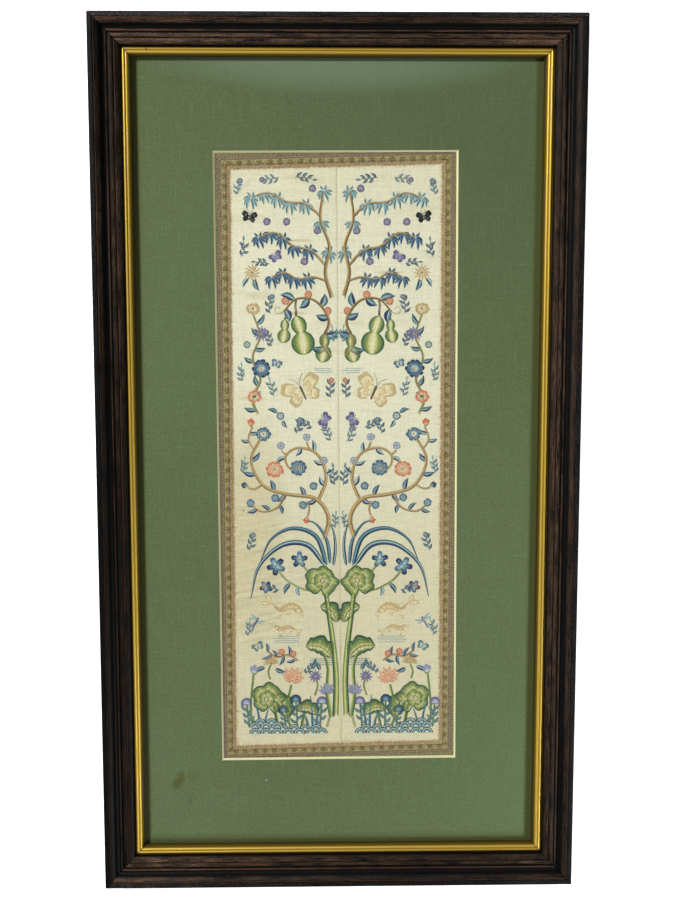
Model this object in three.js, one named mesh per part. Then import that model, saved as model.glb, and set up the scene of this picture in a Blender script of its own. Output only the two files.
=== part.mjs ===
// Framed embroidered sleeve band: two narrow silk bands sewn side by side, edged with woven ribbon,
// mounted on board behind a window mat and glass in a dark reeded wooden frame with a gilt slip.
//
// Millimetres. The frame lies on its back: X runs across the picture, Y runs up the picture and
// Z comes out of its face. The origin is the middle of the back.

import * as THREE from "three";

// ---- Driving dimensions -------------------------------------------------------------------------

const FRAME_WIDTH = 443;
const FRAME_HEIGHT = 806;
const FRAME_DEPTH = 34;      // back to the outer fillet, the highest part of the moulding
const RAIL_WIDTH = 27.3;     // outer edge to the sight edge of the wood
const LIP_WIDTH = 6;         // how far the wood reaches over the glass
const GAP = 0.3;             // clearance between neighbouring pieces

const BACK_RECESS = 1;       // the backing board sits this far above the back of the rails
const BACK_BOARD = 3;
const MOUNT_BOARD = 2;
const SILK = 1;
const RIBBON = 1;
const MAT = 2;
const GLASS = 2;
const SLIP_TONGUE = 2.2;     // the hidden part of the slip, between the glass and the wood's lip
const SLIP_SIGHT = 8.7;      // the part of the slip that shows inside the wood

const MAT_WINDOW = { width: 222.7, height: 570.7, x: -1.0, y: 0.1, turnDegrees: 0.27 };

// The silk was mounted a little out of square, so its field is given by its four corners.
const SILK_FIELD = {
  topLeft: new THREE.Vector2(-98.6, 269.1),
  topRight: new THREE.Vector2(94.8, 274.3),
  bottomRight: new THREE.Vector2(96.4, -269.2),
  bottomLeft: new THREE.Vector2(-97.9, -273.1),
};
const SEAM_TOP_X = -1.9;
const SEAM_BOTTOM_X = 2.7;
const RIBBON_WIDTH = 16;

// Soft puckers in the stretched silk. u and v run from 0 to 1 across and up a panel.
const PUCKERS_LEFT = [
  { u: 0.40, v: 0.40, across: 0.16, along: 0.10, lean: 0.8, rise: 0.7 },
  { u: 0.45, v: 0.22, across: 0.14, along: 0.07, lean: -0.7, rise: 0.6 },
  { u: 0.50, v: 0.62, across: 0.18, along: 0.12, lean: 0.4, rise: 0.5 },
  { u: 0.48, v: 0.86, across: 0.20, along: 0.06, lean: -0.3, rise: 0.5 },
];
const PUCKERS_RIGHT = [
  { u: 0.52, v: 0.30, across: 0.18, along: 0.09, lean: -0.6, rise: 0.6 },
  { u: 0.50, v: 0.55, across: 0.16, along: 0.12, lean: 0.5, rise: 0.5 },
  { u: 0.54, v: 0.80, across: 0.20, along: 0.08, lean: 0.3, rise: 0.5 },
];
const PANEL_STEPS_ACROSS = 10;
const PANEL_STEPS_UP = 30;

// ---- Heights of the stack, from the back up ------------------------------------------------------

const backBoardZ = BACK_RECESS;
const mountBoardZ = backBoardZ + BACK_BOARD + GAP;
const silkZ = mountBoardZ + MOUNT_BOARD + GAP;
const ribbonZ = silkZ + SILK + GAP;
const matZ = ribbonZ + RIBBON + GAP;
const glassZ = matZ + MAT + GAP;
const slipZ = glassZ + GLASS + GAP;
const lipZ = slipZ + SLIP_TONGUE + GAP;

const rebateEdge = RAIL_WIDTH - LIP_WIDTH;
const sheetWidth = FRAME_WIDTH - 2 * (rebateEdge + GAP);
const sheetHeight = FRAME_HEIGHT - 2 * (rebateEdge + GAP);

// ---- Finishes ------------------------------------------------------------------------------------

function finish(color, roughness, metalness = 0) {
  return new THREE.MeshStandardMaterial({ color, roughness, metalness });
}

function glassFinish() {
  const pane = finish(0xf2f6f4, 0.05);
  pane.transparent = true;
  pane.opacity = 0.15;
  return pane;
}

// ---- Closed solids -------------------------------------------------------------------------------

function solidFrom(vertices, triangles) {
  const geometry = new THREE.BufferGeometry();
  geometry.setAttribute("position", new THREE.Float32BufferAttribute(vertices.flat(), 3));
  geometry.setIndex(triangles.flat());
  return geometry;
}

// A solid whose skin passes through four-cornered loops in turn and closes back on the first.
function loopedSolid(loops) {
  const corners = loops[0].length;
  const triangles = [];
  loops.forEach((loop, i) => {
    const here = i * corners;
    const next = ((i + 1) % loops.length) * corners;
    for (let k = 0; k < corners; k += 1) {
      const after = (k + 1) % corners;
      triangles.push([here + k, here + after, next + after], [here + k, next + after, next + k]);
    }
  });
  return solidFrom(loops.flat(), triangles);
}

// A moulding of the given length with both ends cut at 45 degrees. The section's x is the distance
// in from the outer edge, which lies on the X axis, and its y is the height above the back.
function mitredLength(section, length) {
  const points = section.extractPoints(6).shape;
  if (THREE.ShapeUtils.isClockWise(points)) points.reverse();
  const count = points.length;
  const reach = length / 2 - GAP * Math.SQRT1_2;
  const vertices = [
    ...points.map((p) => [-(reach - p.x), -p.x, p.y]),
    ...points.map((p) => [reach - p.x, -p.x, p.y]),
  ];
  const triangles = [];
  for (let i = 0; i < count; i += 1) {
    const next = (i + 1) % count;
    triangles.push([i, next, count + next], [i, count + next, count + i]);
  }
  for (const [a, b, c] of THREE.ShapeUtils.triangulateShape(points, [])) {
    triangles.push([a, c, b], [count + a, count + b, count + c]);
  }
  return facingOut(solidFrom(vertices, triangles));
}

function signedVolume(geometry) {
  const position = geometry.getAttribute("position");
  const index = geometry.getIndex();
  const corner = [new THREE.Vector3(), new THREE.Vector3(), new THREE.Vector3()];
  let volume = 0;
  for (let i = 0; i < index.count; i += 3) {
    corner.forEach((point, k) => point.fromBufferAttribute(position, index.getX(i + k)));
    volume += corner[0].dot(corner[1].cross(corner[2])) / 6;
  }
  return volume;
}

function facingOut(geometry) {
  if (signedVolume(geometry) < 0) {
    const index = geometry.getIndex();
    for (let i = 0; i < index.count; i += 3) {
      const second = index.getX(i + 1);
      index.setX(i + 1, index.getX(i + 2));
      index.setX(i + 2, second);
    }
  }
  return geometry;
}

// ---- Moulding sections ---------------------------------------------------------------------------

// From the outer edge in: a flat fillet, a groove, a band that rolls down into a deep hollow, then
// a bead, a reed and a rounded step down to the sight edge. Below the sight edge is the rebate.
function railSection() {
  const section = new THREE.Shape();
  section.moveTo(0, 0);
  section.lineTo(0, FRAME_DEPTH - 0.8);
  section.lineTo(0.8, FRAME_DEPTH);
  section.lineTo(4.2, FRAME_DEPTH);
  section.lineTo(4.9, 32.8);
  section.lineTo(5.4, 33.85);
  section.quadraticCurveTo(9.4, 33.6, 10.6, 29.2);
  section.quadraticCurveTo(11.3, 26.4, 14.0, 26.2);
  section.quadraticCurveTo(14.9, 28.0, 15.8, 26.6);
  section.lineTo(16.4, 25.4);
  section.quadraticCurveTo(18.9, 27.3, 21.4, 25.3);
  section.lineTo(21.7, 24.5);
  section.lineTo(22.3, 25.7);
  section.quadraticCurveTo(25.3, 25.6, 26.9, 23.4);
  section.lineTo(RAIL_WIDTH, 22.7);
  section.lineTo(RAIL_WIDTH, lipZ);
  section.lineTo(rebateEdge, lipZ);
  section.lineTo(rebateEdge, 0);
  return section;
}

// A tongue that lies on the glass under the wood's lip, then two gilt reeds that step down to the
// glass.
function slipSection() {
  const outer = rebateEdge + GAP;
  const sight = RAIL_WIDTH + GAP;
  const inner = sight + SLIP_SIGHT;
  const section = new THREE.Shape();
  section.moveTo(outer, slipZ);
  section.lineTo(outer, slipZ + SLIP_TONGUE);
  section.lineTo(sight, slipZ + SLIP_TONGUE);
  section.lineTo(sight, 20.2);
  section.lineTo(sight + 1.5, 20.4);
  section.quadraticCurveTo(sight + 2.6, 23.0, sight + 4.2, 20.8);
  section.lineTo(sight + 4.6, 20.3);
  section.quadraticCurveTo(sight + 6.4, 21.4, sight + 7.7, 17.6);
  section.lineTo(inner, 15.4);
  section.lineTo(inner, slipZ);
  return section;
}

// ---- Pieces --------------------------------------------------------------------------------------

const SIDES = [
  { name: "top", turnDegrees: 0, x: 0, y: FRAME_HEIGHT / 2, length: FRAME_WIDTH },
  { name: "right", turnDegrees: -90, x: FRAME_WIDTH / 2, y: 0, length: FRAME_HEIGHT },
  { name: "bottom", turnDegrees: 180, x: 0, y: -FRAME_HEIGHT / 2, length: FRAME_WIDTH },
  { name: "left", turnDegrees: 90, x: -FRAME_WIDTH / 2, y: 0, length: FRAME_HEIGHT },
];

function framedLengths(prefix, section, makeFinish) {
  const group = new THREE.Group();
  for (const side of SIDES) {
    const piece = new THREE.Mesh(mitredLength(section, side.length), makeFinish());
    piece.name = `${prefix}_${side.name}`;
    piece.position.set(side.x, side.y, 0);
    piece.rotation.z = THREE.MathUtils.degToRad(side.turnDegrees);
    group.add(piece);
  }
  return group;
}

function board(name, thickness, z, material) {
  const piece = new THREE.Mesh(new THREE.BoxGeometry(sheetWidth, sheetHeight, thickness), material);
  piece.name = name;
  piece.position.z = z + thickness / 2;
  return piece;
}

function rectangleLoop(width, height, z) {
  const x = width / 2;
  const y = height / 2;
  return [[-x, -y, z], [x, -y, z], [x, y, z], [-x, y, z]];
}

function windowLoop(inset, z) {
  const { width, height, x, y, turnDegrees } = MAT_WINDOW;
  const turn = THREE.MathUtils.degToRad(turnDegrees);
  const centre = new THREE.Vector2();
  return rectangleLoop(width - 2 * inset, height - 2 * inset, z).map(([px, py, pz]) => {
    const corner = new THREE.Vector2(px, py).rotateAround(centre, turn);
    return [corner.x + x, corner.y + y, pz];
  });
}

// The window is cut with a 45 degree bevel that shows the board's pale core.
function windowMat() {
  const geometry = loopedSolid([
    rectangleLoop(sheetWidth, sheetHeight, matZ),
    rectangleLoop(sheetWidth, sheetHeight, matZ + MAT),
    windowLoop(0, matZ + MAT),
    windowLoop(MAT, matZ),
  ]);
  const piece = new THREE.Mesh(facingOut(geometry), finish(0x5f7a55, 0.9));
  piece.name = "window_mat";
  return piece;
}

// The four corners of the silk field pushed out by the same distance along every edge.
function fieldCorners(outset) {
  const corners = [
    SILK_FIELD.bottomLeft, SILK_FIELD.bottomRight, SILK_FIELD.topRight, SILK_FIELD.topLeft,
  ];
  return corners.map((corner, i) => {
    const before = corners[(i + 3) % 4];
    const after = corners[(i + 1) % 4];
    const arriving = corner.clone().sub(before).normalize();
    const leaving = after.clone().sub(corner).normalize();
    const sine = arriving.cross(leaving);
    return corner.clone()
      .addScaledVector(arriving, outset / sine)
      .addScaledVector(leaving, -outset / sine);
  });
}

// Four strips sewn around the silk, each cut at the mitre with half a gap to spare.
function ribbons() {
  const group = new THREE.Group();
  const inner = fieldCorners(0);
  const outer = fieldCorners(RIBBON_WIDTH);
  ["bottom", "right", "top", "left"].forEach((name, i) => {
    const next = (i + 1) % 4;
    const along = inner[next].clone().sub(inner[i]).normalize().multiplyScalar(GAP * Math.SQRT1_2);
    const outline = [
      outer[i].clone().add(along), outer[next].clone().sub(along),
      inner[next].clone().sub(along), inner[i].clone().add(along),
    ];
    const strip = new THREE.ExtrudeGeometry(new THREE.Shape(outline), {
      depth: RIBBON,
      bevelEnabled: false,
    });
    const piece = new THREE.Mesh(strip, finish(0xa08a66, 0.8));
    piece.name = `ribbon_${name}`;
    piece.position.z = ribbonZ;
    group.add(piece);
  });
  return group;
}

// Each pucker is a soft hump that leans across the weave. All of them die out before the edges,
// where the silk is held flat by the seam and the ribbon.
function puckerRise(puckers, u, v) {
  const held = Math.min(1, Math.max(0, Math.min(u - 0.2, 0.9 - u) / 0.15));
  let rise = 0;
  for (const pucker of puckers) {
    const dv = v - pucker.v;
    const du = u - pucker.u - pucker.lean * dv;
    rise += pucker.rise * Math.exp(-((du / pucker.across) ** 2) - (dv / pucker.along) ** 2);
  }
  const heldEnds = Math.min(1, Math.max(0, Math.min(v - 0.05, 0.95 - v) / 0.05));
  return rise * held * heldEnds;
}

// A sheet of even thickness over a four-cornered outline: bottom left, bottom right, top right, top
// left. edgeFirst says whether u runs from the ribbon to the seam.
function silkSheet(corners, puckers, edgeFirst) {
  const [bottomLeft, bottomRight, topRight, topLeft] = corners;
  const across = PANEL_STEPS_ACROSS;
  const up = PANEL_STEPS_UP;
  const columns = across + 1;
  const layer = columns * (up + 1);
  const vertices = [];
  for (const level of [silkZ, silkZ + SILK]) {
    for (let j = 0; j <= up; j += 1) {
      const v = j / up;
      const left = bottomLeft.clone().lerp(topLeft, v);
      const right = bottomRight.clone().lerp(topRight, v);
      for (let i = 0; i <= across; i += 1) {
        const u = i / across;
        const place = left.clone().lerp(right, u);
        const rise = puckerRise(puckers, edgeFirst ? u : 1 - u, v);
        vertices.push([place.x, place.y, level + rise]);
      }
    }
  }
  const at = (i, j, top) => top * layer + j * columns + i;
  const triangles = [];
  const quad = (a, b, c, d) => triangles.push([a, b, c], [a, c, d]);
  for (let j = 0; j < up; j += 1) {
    for (let i = 0; i < across; i += 1) {
      quad(at(i, j, 1), at(i + 1, j, 1), at(i + 1, j + 1, 1), at(i, j + 1, 1));
      quad(at(i, j, 0), at(i, j + 1, 0), at(i + 1, j + 1, 0), at(i + 1, j, 0));
    }
    quad(at(0, j, 0), at(0, j, 1), at(0, j + 1, 1), at(0, j + 1, 0));
    quad(at(across, j, 0), at(across, j + 1, 0), at(across, j + 1, 1), at(across, j, 1));
  }
  for (let i = 0; i < across; i += 1) {
    quad(at(i, 0, 0), at(i + 1, 0, 0), at(i + 1, 0, 1), at(i, 0, 1));
    quad(at(i, up, 0), at(i, up, 1), at(i + 1, up, 1), at(i + 1, up, 0));
  }
  return facingOut(solidFrom(vertices, triangles));
}

function silkPanel(name, corners, puckers, edgeFirst) {
  const piece = new THREE.Mesh(silkSheet(corners, puckers, edgeFirst), finish(0xe3dcbc, 0.6));
  piece.name = name;
  return piece;
}

function silkPanels() {
  const [bottomLeft, bottomRight, topRight, topLeft] = fieldCorners(RIBBON_WIDTH);
  const seamAt = (leftEnd, rightEnd, x) => {
    const share = (x - leftEnd.x) / (rightEnd.x - leftEnd.x);
    return leftEnd.clone().lerp(rightEnd, share);
  };
  const half = GAP / 2;
  const group = new THREE.Group();
  group.add(silkPanel("silk_left", [
    bottomLeft, seamAt(bottomLeft, bottomRight, SEAM_BOTTOM_X - half),
    seamAt(topLeft, topRight, SEAM_TOP_X - half), topLeft,
  ], PUCKERS_LEFT, true));
  group.add(silkPanel("silk_right", [
    seamAt(bottomLeft, bottomRight, SEAM_BOTTOM_X + half), bottomRight,
    topRight, seamAt(topLeft, topRight, SEAM_TOP_X + half),
  ], PUCKERS_RIGHT, false));
  return group;
}

// ---- Assembly ------------------------------------------------------------------------------------

const framedBand = new THREE.Group();
framedBand.add(framedLengths("rail", railSection(), () => finish(0x2a211d, 0.55)));
framedBand.add(framedLengths("slip", slipSection(), () => finish(0xb8933c, 0.35, 1)));
framedBand.add(board("back_board", BACK_BOARD, backBoardZ, finish(0x8a7358, 0.85)));
framedBand.add(board("mount_board", MOUNT_BOARD, mountBoardZ, finish(0xe6dfc8, 0.9)));
framedBand.add(silkPanels());
framedBand.add(ribbons());
framedBand.add(windowMat());
framedBand.add(board("glass_pane", GLASS, glassZ, glassFinish()));

export default framedBand;
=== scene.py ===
"""Framed embroidered sleeve band: the finish of every surface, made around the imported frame.

Lengths in the tables and in the mesh code are millimetres. The frame lies on its back: X runs across
the picture, Y up the picture and Z out of its face. The origin is the middle of the back.
"""

import math

import bpy
import numpy as np
from bpy.props import FloatProperty, FloatVectorProperty, PointerProperty
from mathutils import Matrix, Vector


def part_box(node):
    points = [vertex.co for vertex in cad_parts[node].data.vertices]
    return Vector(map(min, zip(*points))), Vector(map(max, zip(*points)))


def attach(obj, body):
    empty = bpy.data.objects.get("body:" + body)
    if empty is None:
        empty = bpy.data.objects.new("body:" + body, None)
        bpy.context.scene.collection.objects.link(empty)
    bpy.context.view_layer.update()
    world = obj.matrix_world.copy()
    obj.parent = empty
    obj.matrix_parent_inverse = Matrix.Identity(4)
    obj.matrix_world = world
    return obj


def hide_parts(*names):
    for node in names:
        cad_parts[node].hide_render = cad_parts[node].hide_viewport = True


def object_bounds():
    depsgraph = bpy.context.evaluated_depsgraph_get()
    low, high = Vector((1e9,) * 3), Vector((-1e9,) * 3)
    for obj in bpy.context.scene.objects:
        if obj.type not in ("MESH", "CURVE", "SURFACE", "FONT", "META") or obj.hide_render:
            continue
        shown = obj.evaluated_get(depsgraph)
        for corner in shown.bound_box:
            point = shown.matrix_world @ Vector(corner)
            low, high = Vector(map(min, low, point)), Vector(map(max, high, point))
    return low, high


bl_info = {
    "name": "Framed Sleeve Band",
    "version": (1, 0, 0),
    "blender": (4, 5, 0),
    "location": "View3D > Sidebar > Sleeve Band",
    "description": "Makes the finishes of a framed embroidered sleeve band around its packed frame",
    "category": "Object",
}

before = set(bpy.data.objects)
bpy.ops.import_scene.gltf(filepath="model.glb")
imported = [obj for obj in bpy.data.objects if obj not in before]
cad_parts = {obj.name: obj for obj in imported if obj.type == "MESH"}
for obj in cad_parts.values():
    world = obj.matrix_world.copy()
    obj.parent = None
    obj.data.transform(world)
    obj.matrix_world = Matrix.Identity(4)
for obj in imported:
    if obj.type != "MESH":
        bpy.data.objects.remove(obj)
CAD_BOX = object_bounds()


# ---- Places shared with the part ----

MM = 0.001
GAP = 0.3
RAIL_WIDTH = 27.3
LIP_WIDTH = 6.0
SLIP_SIGHT = 8.7
FRAME_WIDTH = (CAD_BOX[1].x - CAD_BOX[0].x) / MM
FRAME_HEIGHT = (CAD_BOX[1].y - CAD_BOX[0].y) / MM
MAT_LOW, MAT_TOP = (corner.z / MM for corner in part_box("window_mat"))
RIBBON_LOW, RIBBON_TOP = (corner.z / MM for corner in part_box("ribbon_left"))
SLIP_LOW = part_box("slip_left")[0].z / MM
SLIP_TONGUE = 2.2
LIP_LOW = SLIP_LOW + SLIP_TONGUE + GAP
SILK_TOP = RIBBON_LOW - GAP

# The silk's field inside the ribbon, from its bottom left corner and on round to the right.
FIELD = np.array([(-97.9, -273.1), (96.4, -269.2), (94.8, 274.3), (-98.6, 269.1)])
SEAM_BOTTOM_X, SEAM_TOP_X = 2.7, -1.9
RIBBON_WIDTH = 16.0
MAT_WINDOW = {"width": 222.7, "height": 570.7, "x": -1.0, "y": 0.1, "turn": 0.27}

# Soft puckers: u from the ribbon to the seam, v up the panel, and the part's own names for the rest.
PUCKER_COLUMNS = ("u", "v", "across", "along", "lean", "rise")
PUCKERS = {
    "left": (
        (0.40, 0.40, 0.16, 0.10, 0.8, 0.7),
        (0.45, 0.22, 0.14, 0.07, -0.7, 0.6),
        (0.50, 0.62, 0.18, 0.12, 0.4, 0.5),
        (0.48, 0.86, 0.20, 0.06, -0.3, 0.5),
    ),
    "right": (
        (0.52, 0.30, 0.18, 0.09, -0.6, 0.6),
        (0.50, 0.55, 0.16, 0.12, 0.5, 0.5),
        (0.54, 0.80, 0.20, 0.08, 0.3, 0.5),
    ),
}
# Finer creases: place, half length, half breadth, turn in degrees, and rise.
CREASES = (
    (-58, -20, 24, 2.6, 8, 0.45), (-40, 34, 26, 2.4, -7, 0.40), (-78, 42, 14, 2.2, -9, 0.40),
    (-66, 96, 18, 2.0, 5, 0.40), (-46, 158, 22, 1.8, -3, -0.45), (-34, 141, 16, 1.6, 4, 0.45),
    (-30, 250, 30, 2.6, -12, 0.65), (-62, 243, 20, 2.4, 6, -0.55), (-86, 256, 12, 2.2, 48, 0.55),
    (-82, 238, 16, 2.2, 24, 0.50), (-70, 226, 20, 2.2, -8, 0.45), (-44, 206, 16, 1.8, 5, 0.40),
    (24, 258, 26, 2.4, -20, 0.65), (52, 250, 24, 2.2, 8, 0.55), (40, 232, 22, 2.4, -12, 0.42),
    (60, 164, 20, 2.0, 4, 0.40), (34, 120, 20, 2.4, -5, 0.36), (70, 84, 14, 2.0, 8, 0.36),
    (50, 30, 24, 2.4, 6, 0.38), (62, -62, 22, 2.2, -9, 0.50), (40, -96, 20, 2.0, -14, 0.45),
    (66, -132, 18, 2.0, -7, 0.50), (30, -150, 18, 2.2, -10, 0.40), (-40, -196, 20, 2.2, 7, 0.40),
    (56, -196, 20, 2.2, -6, 0.36),
)
# A row of drawn creases runs up the left edge and rises to the right.
DRAWN_FROM, DRAWN_TO, DRAWN_APART = -176.0, -34.0, 7.5


def drawn_creases():
    """Rows like those of CREASES for the creases that pull at the left ribbon."""
    random = np.random.default_rng(31)
    rows = []
    for k, y in enumerate(np.arange(DRAWN_FROM, DRAWN_TO, DRAWN_APART)):
        middle = (-97 + random.uniform(4, 34), y + random.uniform(-2.5, 2.5))
        shape = (random.uniform(10, 30), random.uniform(1.4, 3.4), random.normal(10, 5))
        rise = random.uniform(0.25, 0.80) * (-0.6 if k % 3 == 2 else 1.0)
        rows.append((*middle, *shape, rise))
    return tuple(rows)


ALL_CREASES = CREASES + drawn_creases()


def unit(vector):
    return vector / np.linalg.norm(vector)


def step_lengths(line):
    """Lengths of the steps between the points of a line."""
    return np.linalg.norm(np.diff(line, axis=0), axis=1)


def toward(turn, reach):
    """The step that goes a reach along a turn in degrees."""
    return np.array([math.cos(math.radians(turn)), math.sin(math.radians(turn))]) * reach


def field_corners(outset):
    """The field's corners pushed out by the same distance along every edge."""
    corners = []
    for i, corner in enumerate(FIELD):
        arriving = unit(corner - FIELD[i - 1])
        leaving = unit(FIELD[(i + 1) % 4] - corner)
        sine = arriving[0] * leaving[1] - arriving[1] * leaving[0]
        corners.append(corner + (arriving - leaving) * outset / sine)
    return np.array(corners)


SILK_CORNERS = field_corners(RIBBON_WIDTH)


def across_line(start, end, x):
    """Height of the line from start to end at x."""
    return start[1] + (end[1] - start[1]) * (x - start[0]) / (end[0] - start[0])


def seam_x(y):
    """Where the seam runs at height y."""
    low = across_line(SILK_CORNERS[0], SILK_CORNERS[1], SEAM_BOTTOM_X)
    high = across_line(SILK_CORNERS[3], SILK_CORNERS[2], SEAM_TOP_X)
    return SEAM_BOTTOM_X + (SEAM_TOP_X - SEAM_BOTTOM_X) * (y - low) / (high - low)


def smooth(value, low, high):
    """0 below low, 1 above high and an even turn between them."""
    share = np.clip((value - low) / (high - low), 0, 1)
    return share * share * (3 - 2 * share)


def silk_height(x, y):
    """Top of the silk at a place in the picture."""
    bottom_left, bottom_right, top_right, top_left = SILK_CORNERS
    low = across_line(bottom_left, bottom_right, x)
    high = across_line(top_left, top_right, x)
    v = (y - low) / (high - low)
    left = bottom_left[0] + (top_left[0] - bottom_left[0]) * v
    right = bottom_right[0] + (top_right[0] - bottom_right[0]) * v
    seam = seam_x(y)
    shares = {"left": (x - left) / (seam - left), "right": (right - x) / (right - seam)}
    rise = np.zeros_like(x)
    for side, u in shares.items():
        own = (x < seam) if side == "left" else (x >= seam)
        held = np.clip(np.minimum(u - 0.2, 0.9 - u) / 0.15, 0, 1)
        held *= np.clip(np.minimum(v - 0.05, 0.95 - v) / 0.05, 0, 1)
        for row in PUCKERS[side]:
            p = dict(zip(PUCKER_COLUMNS, row))
            dv = v - p["v"]
            du = u - p["u"] - p["lean"] * dv
            bump = np.exp(-((du / p["across"]) ** 2) - (dv / p["along"]) ** 2)
            rise += np.where(own, p["rise"] * bump * held, 0)
    edge = np.minimum(np.minimum(x - FIELD[:, 0].min(), FIELD[:, 0].max() - x), np.abs(x - seam))
    free = smooth(edge, 0.5, 6)
    for cx, cy, length, breadth, turn, crease in ALL_CREASES:
        c, s = toward(turn, 1)
        along = (x - cx) * c + (y - cy) * s
        away = (y - cy) * c - (x - cx) * s + 0.004 * along**2
        rise += crease * free * np.exp(-((along / length) ** 2) - (away / breadth) ** 2)
    rise += 0.035 * free * np.sin(y * 0.9 + 2.0 * np.sin(x * 0.05) + 1.5 * np.sin(y * 0.037))
    sewn = np.exp(-((np.abs(x - seam) / 0.9) ** 2))
    return SILK_TOP + rise - 0.28 * sewn


# ---- Colours ----


def linear(code):
    """A colour code of six hexadecimal digits, as scene-linear red, green and blue."""
    values = [int(code[i : i + 2], 16) / 255 for i in (0, 2, 4)]
    return tuple(v / 12.92 if v <= 0.04045 else ((v + 0.055) / 1.055) ** 2.4 for v in values)


def colour(name, description, code):
    limits = {"size": 3, "min": 0.0, "max": 1.0}
    default = linear(code)
    return FloatVectorProperty(
        name=name, description=description, subtype="COLOR", default=default, **limits
    )


def length(name, description, default, low, high):
    limits = {"min": low, "max": high, "precision": 5}
    return FloatProperty(
        name=name, description=description, subtype="DISTANCE", unit="LENGTH", default=default, **limits
    )


def share(name, description, default):
    return FloatProperty(
        name=name, description=description, subtype="FACTOR", default=default, min=0.0, max=1.0
    )


class SleeveBandFrame(bpy.types.PropertyGroup):
    """The wooden moulding and its gilt slip."""

    wood_dark: colour("Dark Grain", "Darkest colour of the stained wood", "060506")
    wood_brown: colour("Brown Streak", "Brown streaks between the dark grain", "46321f")
    # Lighter brown of the proud ridges: partly real wear, partly painted highlight.
    wood_worn_and_lit: colour("Worn Ridge", "Wood on the rubbed ridges of the moulding", "6b5340")
    wood_pore: colour("Open Pore", "Pale dust in the open pores", "80776c")
    wood_gloss: share("Wood Roughness", "Roughness of the old polish", 0.42)
    wear: length("Ridge Wear", "How far the ridges are rubbed out of true", 0.00012, 0.0, 0.001)
    gilt: colour("Gilding", "Gold of the slip", "dcb84c")
    # Darker gold of the slip's hollows: partly toning, partly painted shade.
    gilt_toning_and_shade: colour("Toned Gilding", "Darker toning in the hollows of the slip", "82660a")


class SleeveBandBoards(bpy.types.PropertyGroup):
    """The window mat and the boards behind the silk."""

    linen: colour("Linen", "Green linen face of the window mat", "5d6a44")
    linen_pale: colour("Faded Linen", "Paler threads of the linen", "70805b")
    core: colour("Mat Core", "Cream core that shows on the bevel", "ebe2b4")
    linen_pitch: length("Linen Thread", "Spacing of the linen's threads", 0.0006, 0.0002, 0.003)
    mount: colour("Mount Board", "Board that the silk is laid on", "ddd5bb")
    backing: colour("Backing Board", "Brown board that closes the back", "8a6f50")


class SleeveBandCloth(bpy.types.PropertyGroup):
    """The silk ground and the woven ribbon."""

    silk: colour("Silk", "Cream silk ground", "ece6cb")
    silk_aged: colour("Aged Silk", "Yellowed streaks in the silk", "c9b98a")
    silk_pitch: length("Silk Thread", "Spacing of the silk's threads", 0.00032, 0.0001, 0.002)
    ribbon_ground: colour("Ribbon Ground", "Tan ground of the ribbon", "a69456")
    ribbon_pink: colour("Ribbon Border", "Pinkish tan border on the inner side", "bd9a6e")
    ribbon_mauve: colour("Ribbon Mauve", "Mauve chain band", "8a7661")
    ribbon_olive: colour("Ribbon Olive", "Olive motifs", "6f691c")
    ribbon_brown: colour("Ribbon Brown", "Brown forks and outlines", "5d4325")
    ribbon_edge: colour("Ribbon Edge", "Olive green of the outer band", "938b49")
    ribbon_teal: colour("Ribbon Selvage", "Dark blue-green of the outer selvage", "4f6459")
    ribbon_pale: colour("Ribbon Light", "Pale spots and highlights", "b6a379")
    motif_pitch: length("Motif Repeat", "Repeat of the olive motifs", 0.0093, 0.004, 0.03)


class SleeveBandThreads(bpy.types.PropertyGroup):
    """The embroidery silks."""

    navy: colour("Navy", "Darkest blue silk", "1a2b47")
    steel: colour("Steel Blue", "Middle blue silk", "385f85")
    sky: colour("Pale Blue", "Light blue silk", "7ea3ae")
    ice: colour("Ice Blue", "Palest blue silk", "b9c9c1")
    teal: colour("Teal", "Blue-green silk", "37696f")
    bottle: colour("Dark Green", "Outline green of the large leaves", "35583c")
    leaf: colour("Leaf Green", "Middle green silk", "62834f")
    olive: colour("Olive", "Yellow-green silk", "96994c")
    lime: colour("Pale Green", "Palest green silk", "c6c784")
    cream: colour("Cream", "Cream silk", "e6dcb4")
    straw: colour("Straw", "Straw-gold silk", "dcbf90")
    gold: colour("Tan Gold", "Tan-gold silk of the branches", "a88b52")
    bark: colour("Bark", "Brown silk of the branches", "6c5235")
    coral: colour("Coral", "Coral silk", "c9653f")
    blush: colour("Blush", "Pale coral silk", "e2a888")
    lilac: colour("Lilac", "Lilac silk", "918cb2")
    violet: colour("Violet", "Violet silk", "5a5382")
    black: colour("Black", "Black silk", "1d1b1f")
    stitch_pitch: length("Stitch Spacing", "Distance between stitches", 0.00060, 0.0002, 0.002)
    thread_width: length("Thread Width", "Width of one stitch", 0.00074, 0.0002, 0.002)


class SleeveBandStage(bpy.types.PropertyGroup):
    """The floor and the lights."""

    floor: colour("Floor", "Plain pale floor", "fcfcfc")
    key: FloatProperty(name="Key Light", description="Power of the main light", default=90.0, min=0.0)
    fill: FloatProperty(name="Fill Light", description="Power of the other lights", default=9.6, min=0.0)
    sky_light: FloatProperty(name="Room Light", description="Light from the room", default=0.62, min=0.0)


# ---- Materials ----


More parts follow.
